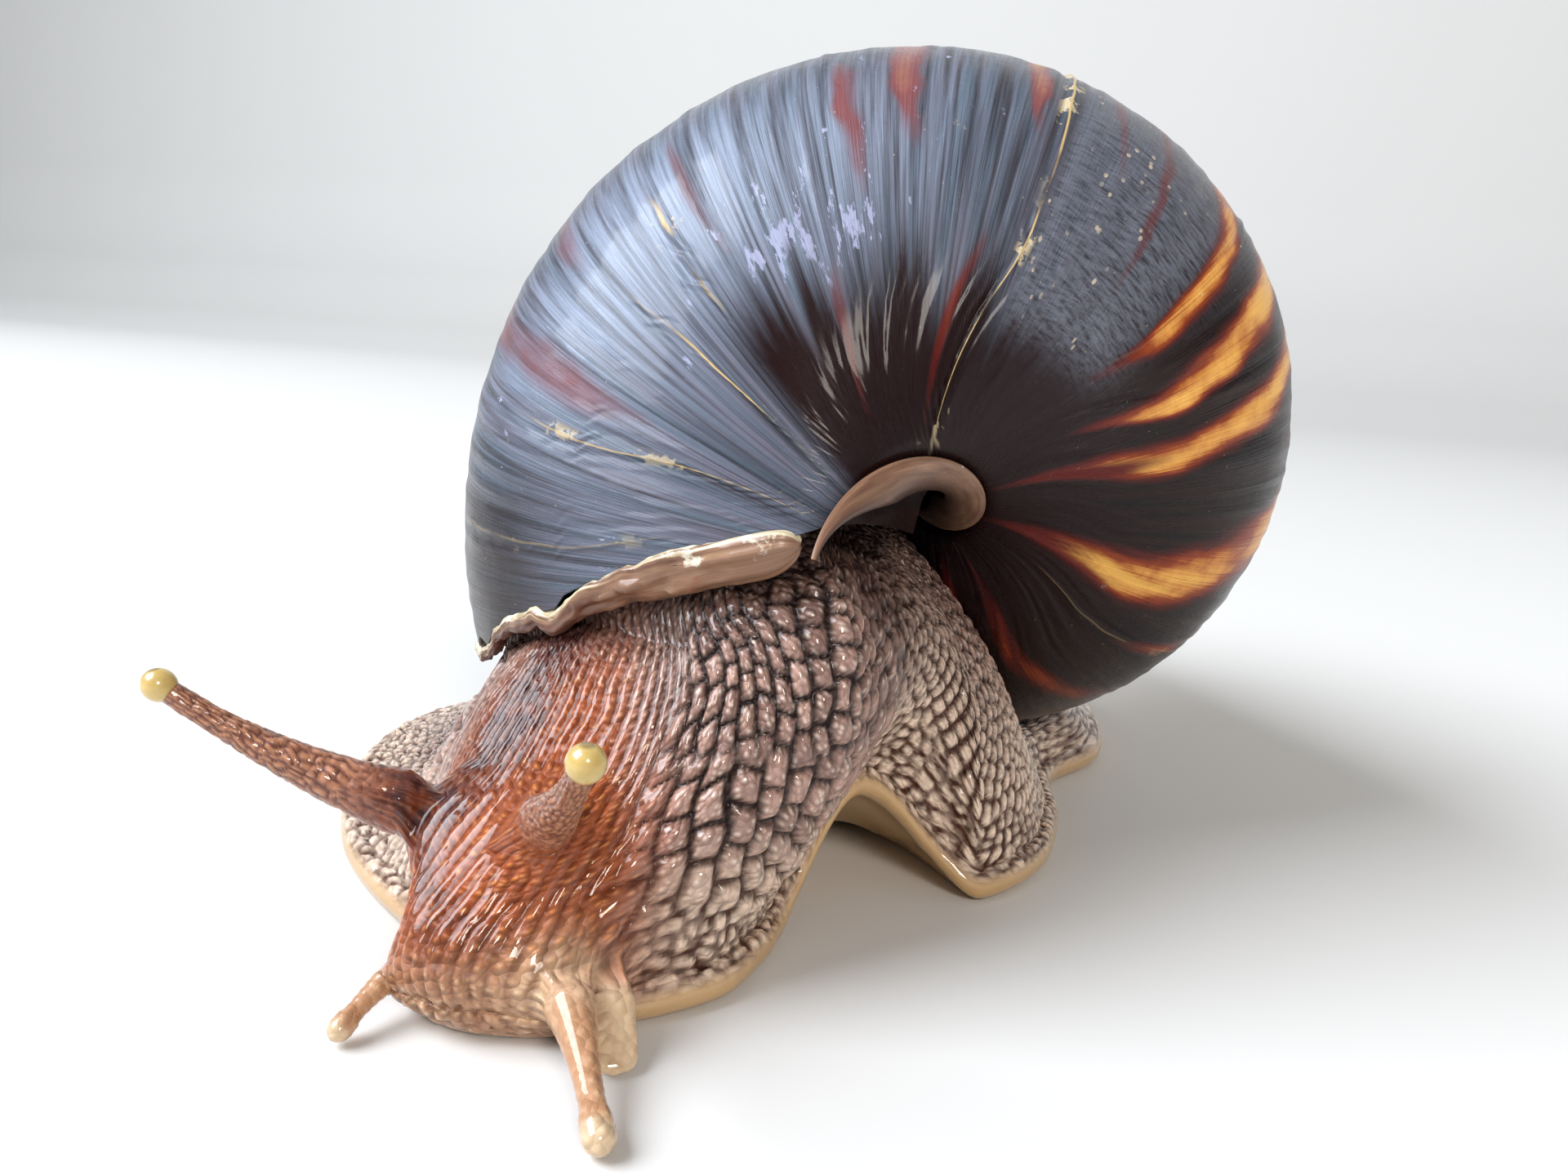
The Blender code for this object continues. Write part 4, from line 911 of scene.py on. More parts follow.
def skin_body():
    """The skin's grid with its relief: points, and the masks for its finish."""
    u = column_places(SKIN_COLUMNS)
    rows = flesh_rows(u)
    first = len(SOLE_PARTS) + RIM_STEPS
    flank = rows[first:]
    across = np.linalg.norm(np.roll(flank, -1, 1) - flank, axis=-1)[:90].mean(0)
    a = np.append(0, np.cumsum(across))[:-1]
    up = np.linalg.norm(np.diff(rows, axis=0), axis=-1)
    climb = np.concatenate([np.zeros((1, len(u))), np.cumsum(up, axis=0)])
    b = climb - climb[first - 1]
    a = np.broadcast_to(a, b.shape)
    height, masks = skin_pattern(a, b)
    snout = snout_share(foot_edge(u)[0][:, :2])
    free = smooth((b + 1.7 + 0.7 * snout) / 1.0)
    ring = climb[-1 - len(PLUG_PARTS)]
    inside = smooth((ring - climb + 3.0) / 4.0)
    calm = np.ones(b.shape)
    pull = np.zeros(rows.shape)
    places = []
    body = rows[first:-len(PLUG_PARTS)]
    for path, size, lift in feeler_roots():
        far = np.linalg.norm(body[:, :, None] - path[None, None], axis=-1)
        r, c, _ = np.unravel_index(np.argmin(far), far.shape)
        places.append((r + first, c))
        near = np.linalg.norm(rows - body[r, c], axis=-1)
        calm = np.minimum(calm, 0.25 + 0.75 * smooth(near / size - 0.8))
        pull += unit(path[-1] - path[0]) * (lift * size * smooth(1 - near / (2.3 * size)))[..., None]
    relief = height * free * inside * calm
    normal = skin_normals(rows)
    points = rows + normal * relief[..., None] + pull
    masks["rim"] = (1 - free) * (1 - snout)
    hind = smooth((a - REAR_START) / 6.0) * smooth((140.0 - a) / 10.0)
    masks["fringe"] = (1 - smooth((b - 1.0) / (9.0 + 11.0 * hind))) * (1 - snout)
    # painted shade: the skin darkens toward the shell's mouth, over a longer stretch on the right
    shaded = smooth((a - 88.0) / 10.0)
    masks["shade_under_shell"] = 1 - smooth((ring - climb + 3.5 * (1 - shaded)) / (7.0 + 9.0 * shaded))
    masks["groove"] = masks["groove"] * free
    masks = {k: v * np.ones_like(b) for k, v in masks.items()}
    return points, a, b, masks, places


def head_masks(points):
    """Where the skin is orange, where the dark stripe runs, where the snout is pale, and the cream
    round the root of the left lower feeler."""
    ahead, across = from_head(points)
    z = points[..., 2]
    warm = smooth((ahead + 9 - 0.55 * np.maximum(across, 0)) / 7) * smooth((11.5 - np.abs(across)) / 5)
    middle = -4.8 + 8.2 * smooth((10 - z) / 4.5) + 0.9 * wander(ahead / 3, across / 3, 81)
    half = 2.6 + 0.9 * smooth((z - 9.0) / 4.0)
    stripe = np.exp(-np.abs((across - middle) / half) ** 3) * (0.45 + 0.55 * smooth((z - 6.5) / 4.0))
    stripe = stripe * smooth((z - 3.0) / 3.0) * smooth((ahead + 9.0) / 4.0)
    pale = smooth((6.2 - z + 0.22 * across) / 4.5) * smooth((ahead - 2) / 5)
    root = np.linalg.norm(points - np.array(LOWER_TENTACLES["left"][0]), axis=-1)
    return {"warm": warm, "stripe": stripe, "pale": pale, "cream": 0.7 * np.exp(-(root / 2.6) ** 2)}


def outgrowth(points, hole, path, wide, deep, join, grain):
    """Draw one feeler or lobe out of the skin: the square hole's border is carried by a bezier,
    flat in the skin at first, on to rings round path, which close at the tip. A ring is an oval,
    wide across and deep the other way, roughened by rows of granules."""
    (r0, r1, c0, c1) = hole
    cols = points.shape[1]
    border = ([(r0, c) for c in range(c0, c1)] + [(r, c1) for r in range(r0, r1)]
              + [(r1, c) for c in range(c1, c0, -1)] + [(r, c0) for r in range(r1, r0, -1)])
    border = np.array(border)
    ids = border[:, 0] * cols + border[:, 1] % cols
    start = points[border[:, 0], border[:, 1] % cols]
    tangent = unit(np.gradient(path, axis=0))
    across = unit(np.cross(tangent, [0.0, 0.0, 1.0]))
    cross = np.cross(tangent, across)
    flat = start - start.mean(0)
    angle = np.unwrap(np.arctan2(flat @ cross[0], flat @ across[0]))
    way = np.sign(angle[-1] - angle[0])
    even = way * np.linspace(0, 2 * np.pi, len(ids), endpoint=False)
    even = even + np.mean(angle - even)

    def oval(k):
        """The ring round path point k: cosine times wide across, sine times deep the other way."""
        sides = np.outer(np.cos(even) * wide[k], across[k])
        return path[k] + sides + np.outer(np.sin(even) * deep[k], cross[k])

    past = (path - start.mean(0)) @ unit(path[len(path) // 2] - start.mean(0))
    join = int(np.argmax(past > join))
    target = oval(join)
    inward = unit(path[0] - start)
    reach = np.linalg.norm(target - start, axis=1).mean()
    leave = unit(0.5 * inward + 0.9 * tangent[join])
    rings = [bezier(start, start + leave * reach * 0.35, target - tangent[join] * reach * 0.4, target, t)
             for t in np.linspace(0, 1, 13)]
    rings = np.array(rings + [oval(k) for k in range(join + 1, len(path))])
    normal = unit(np.cross(np.roll(rings, -1, 1) - np.roll(rings, 1, 1), np.gradient(rings, axis=0)))
    outward = rings - rings.mean(axis=1, keepdims=True)
    normal *= np.sign(np.sum(normal[-20:] * outward[-20:]))
    far = np.append(0, np.cumsum(np.linalg.norm(np.diff(rings, axis=0), axis=-1).mean(axis=1)))[:, None]
    fade = smooth(far / 0.9) * smooth((far[-1] - far) / 1.6)
    if grain > 0:
        count = 2 * int(np.round(np.median(wide) * np.pi / 0.5))
        turn = even[None, :] / (2 * np.pi) % 1
        shift = 0.7 * wander(turn * 7, far / 0.8, 72, 7)
        slip = 0.5 * wander(turn * 9, far / 1.1, 73, 9)
        side, end, _ = files(turn * count + shift, far + slip, 1.0, 0.95, 71)
        edge = rounded(side * 0.5, end)
        relief = grain * (pillow(edge, 0.25) - 0.5)
        bead = 0.5 * (1 - smooth((edge - 0.02) / 0.10)) * fade
        knob = relief / grain + 0.5
    else:
        relief = -grain * np.cos(far * 2 * np.pi / 0.55) + 0 * even
        bead = 0 * relief
        knob = 0.5 + bead
    rings = rings + normal * (relief * fade)[..., None]
    tip = path[-1] + tangent[-1] * wide[-1] * 0.4
    return border, ids, rings[1:], tip, bead[1:].reshape(-1), knob[1:].reshape(-1)


def feeler_path(root, tip, sag, high, rows):
    """Points of the feeler's middle line from its root to high, which is 1 at its tip."""
    t = np.linspace(0, high, rows)[:, None]
    root, tip = np.array(root), np.array(tip)
    middle = (root + tip) / 2 + 2 * np.array(sag)
    return (1 - t) ** 2 * root + 2 * (1 - t) * t * middle + t * t * tip, t[:, 0]


def grow_out(points, masks, spec, places, uv):
    """Add the feelers and lobes to the skin's grid: points, faces, masks."""
    rows, cols = points.shape[:2]
    faces = grid_faces(rows, cols, closed=True)
    cell_row = np.repeat(np.arange(rows - 1), cols)
    cell_col = np.tile(np.arange(cols), rows - 1)
    keep = np.ones(len(faces), bool)
    flat = [points.reshape(-1, 3)]
    values = {k: [v.reshape(-1)] for k, v in masks.items()}
    extra = []
    count = rows * cols
    for (path, wide, deep, size, join, grain, given), (r, c) in zip(spec, places):
        step_up = np.linalg.norm(points[r + 1, c] - points[r - 1, c]) / 2
        step_side = np.linalg.norm(points[r, (c + 1) % cols] - points[r, c - 1]) / 2
        half_r, half_c = int(np.ceil(size / step_up)), int(np.ceil(size / step_side))
        r0, r1 = max(r - half_r, 1), min(r + half_r, rows - len(PLUG_PARTS))
        hole = (r0, r1, c - half_c, c + half_c)
        inside = (cell_row >= r0) & (cell_row < r1) & (cell_col >= hole[2]) & (cell_col < hole[3])
        keep &= ~inside
        border, ids, rings, tip, bead, knob = outgrowth(points, hole, path, wide, deep, join * size, grain)
        n = len(ids)
        grid = np.concatenate([ids, count + np.arange(rings.shape[0] * n)]).reshape(-1, n)
        nxt = np.roll(grid, -1, 1)
        quads = np.stack([grid[:-1], nxt[:-1], nxt[1:], grid[1:]], -1).reshape(-1, 4)
        lid = fan_faces(grid[-1], count + rings.shape[0] * n)
        extra += [quads, lid]
        flat += [rings.reshape(-1, 3), tip[None]]
        part = np.append(np.repeat(np.linspace(0, 1, rings.shape[0]), n), 1.0)
        blend = smooth((part - 0.1) / 0.3)
        for k, v in masks.items():
            edge = v[border[:, 0], border[:, 1] % cols]
            old = np.append(np.tile(edge, rings.shape[0]), edge.mean())
            known = {"along": part, "tone": np.append(knob, 0.5), "cream": given["cream"](part)}
            new = known.get(k, given.get(k, 0.0))
            mixed = old * (1 - blend) + new * blend
            if k == "groove":
                mixed = np.append(np.maximum(bead, mixed[:-1] * (1 - smooth(part[:-1] / 0.1))), 0.0)
            values[k].append(mixed)
        count += rings.shape[0] * n + 1
        spread = uv[0].reshape(rows, cols, 2)[border[:, 0], border[:, 1] % cols]
        uv.append(np.append(np.tile(spread, (rings.shape[0], 1)), spread[:1], axis=0))
    uv = np.concatenate([*uv, np.zeros((2, 2))])
    faces = np.concatenate([faces[keep], *extra])
    points = np.concatenate(flat)
    values = {k: np.concatenate(v) for k, v in values.items()}
    last = (rows - 1) * cols + np.arange(cols)
    points = np.concatenate([points, [[0.0, 0.0, 0.0]], points[last].mean(0)[None]])
    for k in values:
        values[k] = np.append(values[k], [values[k][0], 0.0])
    faces = np.concatenate([faces, fan_faces(np.arange(cols)[::-1], len(points) - 2),
                            fan_faces(last, len(points) - 1)])
    return points, faces, values, uv


def add_skin(material):
    """The flesh as one closed skin with its feelers and the lobe beside the mouth."""
    points, a, b, masks, places = skin_body()
    masks.update(head_masks(points), feeler=np.zeros_like(b), along=np.zeros_like(b))
    spec = []                       # path, half sizes, hole, where the rings start, grain, values
    for root, tip, sag, thick, thin in UPPER_TENTACLES.values():
        length = np.linalg.norm(np.subtract(tip, root))
        path, t = feeler_path(root, tip, sag, 1 - 0.6 * EYE_RADIUS / length, 90)
        radii = thin + (thick - thin) * (1 - np.clip(t, 0, 1)) ** 1.4
        radii = radii + 0.12 * smooth((t - 0.8) / 0.15)
        spec.append((path, radii, radii, thick * 0.80, 0.9, 0.13,
                     {"feeler": 1.0, "warm": 0.5, "cream": lambda part: 0 * part}))
    for root, tip, sag, thick, thin in LOWER_TENTACLES.values():
        length = np.linalg.norm(np.subtract(tip, root))
        path, t = feeler_path(root, tip, sag, 1 + 0.9 * thin / length, 40)
        beyond = np.clip((t - 1) * length / thin, 0, 1)
        radii = thin * (0.74 + 0.22 * smooth((t - 0.82) / 0.12))
        radii = radii + (thick - 0.74 * thin) * (1 - np.clip(t, 0, 1)) ** 2.6
        radii = radii * np.sqrt(1 - beyond ** 2)
        spec.append((path, radii, radii, thick * 0.62, 1.0, -0.025,
                     {"pale": 1.0, "cream": lambda part: 0.45 * (1 - smooth(part / 0.5))
                      + 0.85 * smooth((part - 0.86) / 0.07)}))
    for root, tip, wide, deep in LOBES:
        path, t = feeler_path(root, tip, NO_SAG, 1.0, 30)
        end = np.clip(1 - np.clip((t - 0.72) / 0.28, 0, 1) ** 3.5, 0.02, 1) ** 0.5
        spec.append((path, wide * end, deep * (1 - 0.45 * t) * end, wide * 0.9, 0.8, -0.012,
                     {"pale": 1.0, "cream": lambda part: 0.55 + 0.25 * part}))
    uv = np.stack([a, b], -1).reshape(-1, 2) / 100
    points, faces, values, uv = grow_out(points, masks, spec, places, [uv])
    add_piece("skin", points, faces, material, FLESH_NODES, values, uv)


def add_eye(name, tip, root, material):
    """One eye bulb: a ball a little longer than wide along the feeler, closed at both poles."""
    ahead = unit(np.subtract(tip, root))
    side = unit(np.cross(ahead, [0.0, 0.0, 1.0]))
    up = np.cross(side, ahead)
    rows, cols = 34, 48
    polar = np.linspace(0, np.pi, rows)[1:-1, None]
    angle = np.linspace(0, 2 * np.pi, cols, endpoint=False)
    wide = EYE_RADIUS * np.sin(polar) * EYE_WIDE
    long = EYE_RADIUS * EYE_LONG * np.cos(polar) + 0 * angle
    tip = np.array(tip)
    ball = tip + (wide * np.cos(angle))[..., None] * side + (wide * np.sin(angle))[..., None] * up
    ball = ball - long[..., None] * ahead
    pole = ahead * EYE_RADIUS * EYE_LONG
    points = np.concatenate([ball.reshape(-1, 3), [tip - pole, tip + pole]])
    n = (rows - 2) * cols
    faces = np.concatenate([grid_faces(rows - 2, cols, closed=True), fan_faces(np.arange(cols)[::-1], n),
                            fan_faces(n - cols + np.arange(cols), n + 1)])
    look = unit(0.75 * up + 0.65 * ahead)
    spot = unit(points - tip) @ look
    add_piece(name + "_bulb", points, faces, material, (name,), {"spot": spot})


# ---------------------------------------------------------------- finishes

class Layer:
    """A value or colour that changes over the surface: + - * and abs() add Math nodes."""

    def __init__(self, maker, socket):
        self.maker, self.socket = maker, socket

    def math(self, operation, first, second=0.0):
        """One Math node."""
        return self.maker.node("Math", {0: first, 1: second}, operation=operation)

    def __add__(self, other):
        return self.math("ADD", self, other)

    def __mul__(self, other):
        return self.math("MULTIPLY", self, other)

    def __sub__(self, other):
        return self.math("SUBTRACT", self, other)

    def __rsub__(self, other):
        return self.math("SUBTRACT", other, self)

    def __abs__(self):
        return self.math("ABSOLUTE", self)

    __radd__, __rmul__ = __add__, __mul__


class Nodes:
    """A node tree, of a material or of a shader group, that layers are made in."""

    def __init__(self, tree):
        self.tree = tree

    def node(self, kind, inputs, output=0, **settings):
        """One node with its settings and its inputs, each a constant or a layer."""
        node = self.tree.nodes.new("ShaderNode" + kind)
        for key, value in settings.items():
            setattr(node, key, value)
        for key, value in inputs.items():
            if isinstance(value, Layer):
                self.tree.links.new(value.socket, node.inputs[key])
            else:
                node.inputs[key].default_value = value
        return Layer(self, node.outputs[output])

    def noise(self, where, scale, detail, roughness=0.5, output="Fac"):
        """Cloudy random values, scale of them in one unit of where."""
        return self.node("TexNoise", {"Vector": where, "Scale": scale, "Detail": detail,
                                      "Roughness": roughness}, output)


def shared_group(name, given, output, build):
    """A shader group that more than one finish uses. given maps the names of its inputs to their
    kinds, and build makes its one output from them."""
    tree = bpy.data.node_groups.new(name, "ShaderNodeTree")
    for key, kind in given.items():
        tree.interface.new_socket(key, in_out="INPUT", socket_type="NodeSocket" + kind)
    tree.interface.new_socket(output, in_out="OUTPUT", socket_type="NodeSocketFloat")
    entry = tree.nodes.new("NodeGroupInput")
    made = Nodes(tree)
    result = build(made, *(Layer(made, entry.outputs[key]) for key in given))
    tree.links.new(result.socket, tree.nodes.new("NodeGroupOutput").inputs[output])
    return tree


def growth_grain(nodes, surface, fineness, turn, detail, roughness):
    """Noise on the surface map, which is turned and drawn out first."""
    where = nodes.node("Mapping", {"Vector": surface, "Rotation": turn, "Scale": fineness})
    return nodes.noise(where, 1.0, detail, roughness)


GROWTH_GRAIN = shared_group("growth_grain", {
    "Surface": "Vector", "Fineness": "Vector", "Turn": "Vector", "Detail": "Float",
    "Roughness": "Float"}, "Grain", growth_grain)
MOTTLE = shared_group("mottle", {"Place": "Vector", "Scale": "Float", "Detail": "Float",
                                 "Roughness": "Float"}, "Mottle", Nodes.noise)


class Finish(Nodes):
    """A material with one Principled shader; constants are set on its own sockets."""

    def __init__(self, name, **constants):
        self.material = bpy.data.materials.new(name)
        self.material.use_nodes = True
        super().__init__(self.material.node_tree)
        self.shader = self.tree.nodes["Principled BSDF"]
        for key, value in constants.items():
            self.shader.inputs[key.replace("_", " ").title().replace("Ior", "IOR")].default_value = value

    def given(self, *names):
        """Layers read from the piece's own point values."""
        return [self.node("Attribute", {}, "Fac", attribute_name=name) for name in names]

    def place(self):
        """The object's own coordinates, in metres."""
        return self.node("TexCoord", {}, "Object")

    def surface(self):
        """The piece's own surface map."""
        return self.node("UVMap", {}, uv_map="surface")

    def mottle(self, place, scale, detail, roughness=0.5):
        """The shared mottle, at this finish's own scale."""
        return self.node("Group", {"Place": place, "Scale": scale, "Detail": detail,
                                   "Roughness": roughness}, "Mottle", node_tree=MOTTLE)

    def drawn_out(self, across, along, detail, roughness=0.6, slant=0.0):
        """The shared growth grain, finer one way than the other."""
        return self.node("Group", {"Surface": self.surface(), "Fineness": (across, along, 1.0),
                                   "Turn": (0.0, 0.0, slant), "Detail": detail,
                                   "Roughness": roughness}, "Grain", node_tree=GROWTH_GRAIN)

    def cells(self, where, scale, randomness):
        """Distance to the nearest of random dots."""
        return self.node("TexVoronoi", {"Vector": where, "Scale": scale, "Randomness": randomness},
                         "Distance", feature="F1")

    def mix(self, share, low, high):
        """From the low colour to the high one as share goes from 0 to 1."""
        low, high = ((*c, 1.0) if isinstance(c, tuple) else c for c in (low, high))
        return self.node("Mix", {0: share, 6: low, 7: high}, 2, data_type="RGBA")

    def ramp(self, value, *stops):
        """Grey that runs through two (place, grey) stops."""
        layer = self.node("ValToRGB", {0: value})
        for element, (place, grey) in zip(layer.socket.node.color_ramp.elements, stops):
            element.position = place
            element.color = (grey, grey, grey, 1.0)
        return layer

    def wear(self, height, strength, distance, **layers):
        """Link layers to the shader's sockets, and a bump of height to its normal."""
        bump = self.node("Bump", {"Height": height, "Strength": strength, "Distance": distance},
                         "Normal")
        for key, layer in {**layers, "normal": bump}.items():
            self.tree.links.new(layer.socket, self.shader.inputs[key.replace("_", " ").title()])
        return self.material


def shell_finish():
    """Dark glossy shell: brown-black with red-orange flames, fine growth lines, wear and ochre
    cracks."""
    finish = Finish("dark_shell", coat_roughness=0.12, coat_weight=0.2, specular_ior_level=0.16,
                    specular_tint=(0.80, 0.86, 1.0, 1.0))
    mix, ramp, drawn_out = finish.mix, finish.ramp, finish.drawn_out
    flame, inside, young, wet, painted_reflection_spot, scuff_and_sheen, stop, stop_off, painted_sky_sheen = finish.given(
        "red_band", "inside", "young", "wet", "painted_reflection_spot", "scuff_and_sheen", "stop", "stop_off", "painted_sky_sheen")
    place = finish.place()
    mottle = finish.mottle(place, 220.0, 6.0, 0.65)
    fine = drawn_out(420.0, 6.0, 4.0)
    ridge = drawn_out(150.0, 4.0, 3.0)
    broad = drawn_out(60.0, 4.0, 5.0)
    dry_and_sheen = young * (1 - wet)

    # brown-black, under slate-blue streaks and scuffs where the skin of the shell is dry; their slate-blue
    # is partly the worn skin's own colour and partly a painted reflection of the sky
    dark = mix(ramp(broad, (0.3, 0.0), (0.75, 1.0)), (0.004, 0.0022, 0.002), (0.026, 0.009, 0.005))
    dark = mix(wet, dark, (0.014, 0.003, 0.0025))
    slate_and_sheen = mix(ramp(broad, (0.38, 0.0), (0.62, 1.0)), (0.085, 0.118, 0.158), (0.148, 0.146, 0.196))
    # painted reflection of the sky: a pale blue sheen over the dome
    slate_and_sheen = mix(painted_sky_sheen * 0.95, slate_and_sheen, (0.34, 0.40, 0.53))
    streaks = ramp(fine, (0.3, 0.55), (0.6, 1.0)) * ramp(ridge, (0.34, 0.30), (0.56, 1.0))
    dark = mix(dry_and_sheen * streaks, dark, slate_and_sheen)
    # worn scratches, their pale blue partly a painted sheen
    scratch = ramp(drawn_out(45.0, 260.0, 4.0, 0.7, slant=0.7), (0.36, 0.1), (0.58, 0.95))
    dark = mix(scuff_and_sheen * scratch, dark, (0.150, 0.160, 0.200))

    # flames: red-brown at the edge, orange and then yellow in the middle
    heat = flame * ramp(mottle, (0.28, 0.65), (0.6, 1.0)) * ramp(fine, (0.25, 0.75), (0.6, 1.05))
    glow = mix(ramp(heat, (0.22, 0.0), (0.60, 1.0)), (0.12, 0.012, 0.005), (0.46, 0.085, 0.014))
    glow = mix(ramp(heat, (0.42, 0.0), (0.76, 1.0)), glow, (0.93, 0.50, 0.11))
    # under the partly painted sky sheen the flames are dulled to pink
    glow = mix(dry_and_sheen * 0.85, glow, (0.20, 0.075, 0.085))
    glow = mix(wet, glow, (0.12, 0.010, 0.006))
    colour = mix(ramp(heat, (0.06, 0.0), (0.30, 1.0)), dark, glow)

    # painted reflections as torn pale lilac patches, pale dots, rubbed spots, and ochre chips and cracks at
    # the growth stops
    # painted reflection: ragged pale lilac patches where the sky would be mirrored
    painted_reflection_patches = ramp(drawn_out(60.0, 22.0, 6.0, 0.65) + painted_reflection_spot * 0.16, (0.66, 0.0), (0.69, 1.0))
    colour = mix(painted_reflection_patches * 0.8 * ramp(dry_and_sheen, (0.70, 0.0), (0.95, 1.0)), colour, (0.40, 0.42, 0.60))
    dotted = finish.node("Mapping", {"Vector": finish.surface(), "Scale": (85.0, 60.0, 1.0)})
    dots = ramp(finish.cells(dotted, 1.0, 1.0) - scuff_and_sheen * 0.14, (0.02, 1.0), (0.07, 0.0))
    dots = dots * ramp(mottle, (0.48, 0.0), (0.56, 1.0)) * (0.8 - wet * 0.8)
    colour = mix(dots, colour, (0.62, 0.52, 0.40))
    rubbed = ramp(finish.noise(place, 520.0, 8.0, 0.75), (0.66, 0.0), (0.72, 1.0))
    colour = mix(rubbed * 0.55, colour, (0.42, 0.34, 0.26))
    beside = ramp(abs(stop_off) * 0.1, (0.30, 1.0), (0.75, 0.0))
    chip = beside * stop * ramp(mottle, (0.585, 0.0), (0.605, 0.9))
    colour = mix(chip, colour, (0.66, 0.54, 0.34))
    crack = stop * ramp(abs(stop_off), (0.35, 1.0), (1.0, 0.0))
    colour = mix(crack, colour, (0.62, 0.44, 0.20))
    # painted shade: the funnel and the lining of the mouth are darkened
    colour = mix(inside, colour, (0.030, 0.014, 0.012))
    return finish.wear(fine + mottle * 0.5, 0.7, 0.00018, base_color=colour,
                       roughness=ramp(mottle, (0.3, 0.20), (0.7, 0.40)))


def pale_finish():
    """Cream and beige shell callus: layered and chipped, with painted shade deep in the funnel."""
    finish = Finish("pale_callus", roughness=0.4, coat_weight=0.25, coat_roughness=0.15)
    mix, ramp = finish.mix, finish.ramp
    outer, flake, span, deep = finish.given("outer", "flake", "span", "deep")
    mottle = finish.mottle(finish.place(), 420.0, 6.0, 0.65)
    layers = finish.drawn_out(14.0, 260.0, 4.0)
    beige = mix(ramp(layers, (0.35, 0.0), (0.65, 1.0)), (0.155, 0.070, 0.040), (0.36, 0.205, 0.120))
    cream = mix(flake, (0.40, 0.31, 0.17), (0.68, 0.58, 0.38))
    edge = outer + (layers - 0.5) * 0.9 - ramp(span, (0.66, 0.0), (0.94, 0.34))
    colour = mix(ramp(edge, (0.50, 0.0), (0.62, 1.0)), beige, cream)
    under = ramp(edge, (0.22, 1.0), (0.36, 0.0)) * ramp(span, (0.80, 0.9), (0.88, 0.2))
    colour = mix(under, colour, (0.10, 0.030, 0.018))
    # painted shade where the flange dips into the funnel
    colour = mix(ramp(deep, (0.12, 0.0), (0.60, 1.0)), colour, (0.075, 0.036, 0.026))
    crust = ramp(mottle + edge * 0.25, (0.67, 0.0), (0.73, 0.9))
    colour = mix(crust, colour, (0.80, 0.74, 0.60))
    brown = ramp(finish.drawn_out(22.0, 90.0, 4.0, 0.5), (0.60, 0.0), (0.68, 0.7))
    colour = mix(brown, colour, (0.20, 0.08, 0.04))
    return finish.wear(mottle, 0.5, 0.00015, base_color=colour)


def skin_finish():
    """Wet skin: red-brown pebbles with near-black grooves, cream by the fringe, orange on the
    head."""
    finish = Finish("wet_skin", roughness=0.48, coat_roughness=0.04, subsurface_weight=0.06,
                    subsurface_scale=0.001, specular_ior_level=0.3,
                    subsurface_radius=(1.0, 0.4, 0.25))
    mix, ramp = finish.mix, finish.ramp
    tone, groove, rim, fringe, warm, stripe, pale, feeler, along, shade_under_shell, cream = finish.given(
        "tone", "groove", "rim", "fringe", "warm", "stripe", "pale", "feeler", "along", "shade_under_shell",
        "cream")
    place = finish.place()
    mottle = finish.mottle(place, 700.0, 5.0, 0.6)
    broad = finish.noise(place, 90.0, 3.0)

    # pimples on the body, finer knobs out along the feelers
    warp = finish.noise(place, 500.0, 2.0, output="Color")
    warped = finish.node("Mix", {0: 0.002, 6: finish.surface(), 7: warp}, 2, data_type="RGBA",
                         blend_type="LINEAR_LIGHT")
    onward = ramp(along, (0.0, 0.0), (0.15, 1.0))
    pimple = finish.cells(warped, 165.0, 0.85) * (1 - onward) + finish.cells(place, 1300.0, 0.8) * onward

    # flank, head, painted shade where the skin goes in under the shell, the snout and the feelers
    colour = mix(tone * 0.6 + broad * 0.4, (0.18, 0.090, 0.072), (0.60, 0.37, 0.295))
    colour = mix(fringe, colour, (0.92, 0.70, 0.54))
    colour = mix(warm, colour, mix(mottle, (0.20, 0.034, 0.008), (0.52, 0.125, 0.022)))
    # painted shade by the shell's mouth, less of it on the orange head
    colour = mix(shade_under_shell * (0.82 - warm * 0.4), colour, (0.05, 0.020, 0.014))
    colour = mix(stripe * ramp(mottle, (0.38, 1.0), (0.62, 0.55)), colour, (0.035, 0.010, 0.013))
    colour = mix(pale, colour, mix(mottle, (0.40, 0.18, 0.08), (0.56, 0.32, 0.18)))
    colour = mix(cream, colour, mix(mottle, (0.60, 0.42, 0.24), (0.76, 0.62, 0.42)))
    colour = mix(feeler, colour, mix(tone, (0.13, 0.035, 0.028), (0.50, 0.22, 0.11)))

    # pale crests, dark grooves and the smooth rim
    tip = mix(warm, (0.92, 0.72, 0.60), (0.82, 0.28, 0.07))
    tip = mix(pale, tip, (0.80, 0.56, 0.34))
    crest = ramp(pimple, (0.08, 1.0), (0.42, 0.0)) * (1 - feeler)
    crest = crest * (1 - stripe * 0.8) * (1 - onward * 0.6)
    # the pale crests are dimmed in the painted shade by the shell
    colour = mix(crest * (0.85 - shade_under_shell * 0.55), colour, tip)
    dark = mix(fringe, (0.016, 0.005, 0.004), (0.095, 0.034, 0.019))
    colour = mix(groove * (1 - warm * 0.45), colour, mix(warm, dark, (0.085, 0.010, 0.006)))
    colour = mix(rim, colour, mix(broad, (0.46, 0.26, 0.10), (0.62, 0.41, 0.20)))
    rough = (1 - rim) * ramp(along, (0.0, 1.0), (0.2, 0.5))
    return finish.wear(mottle * 0.3 - pimple * rough, 1.0, 0.0006, base_color=colour,
                       coat_weight=0.95 - groove * 0.8)


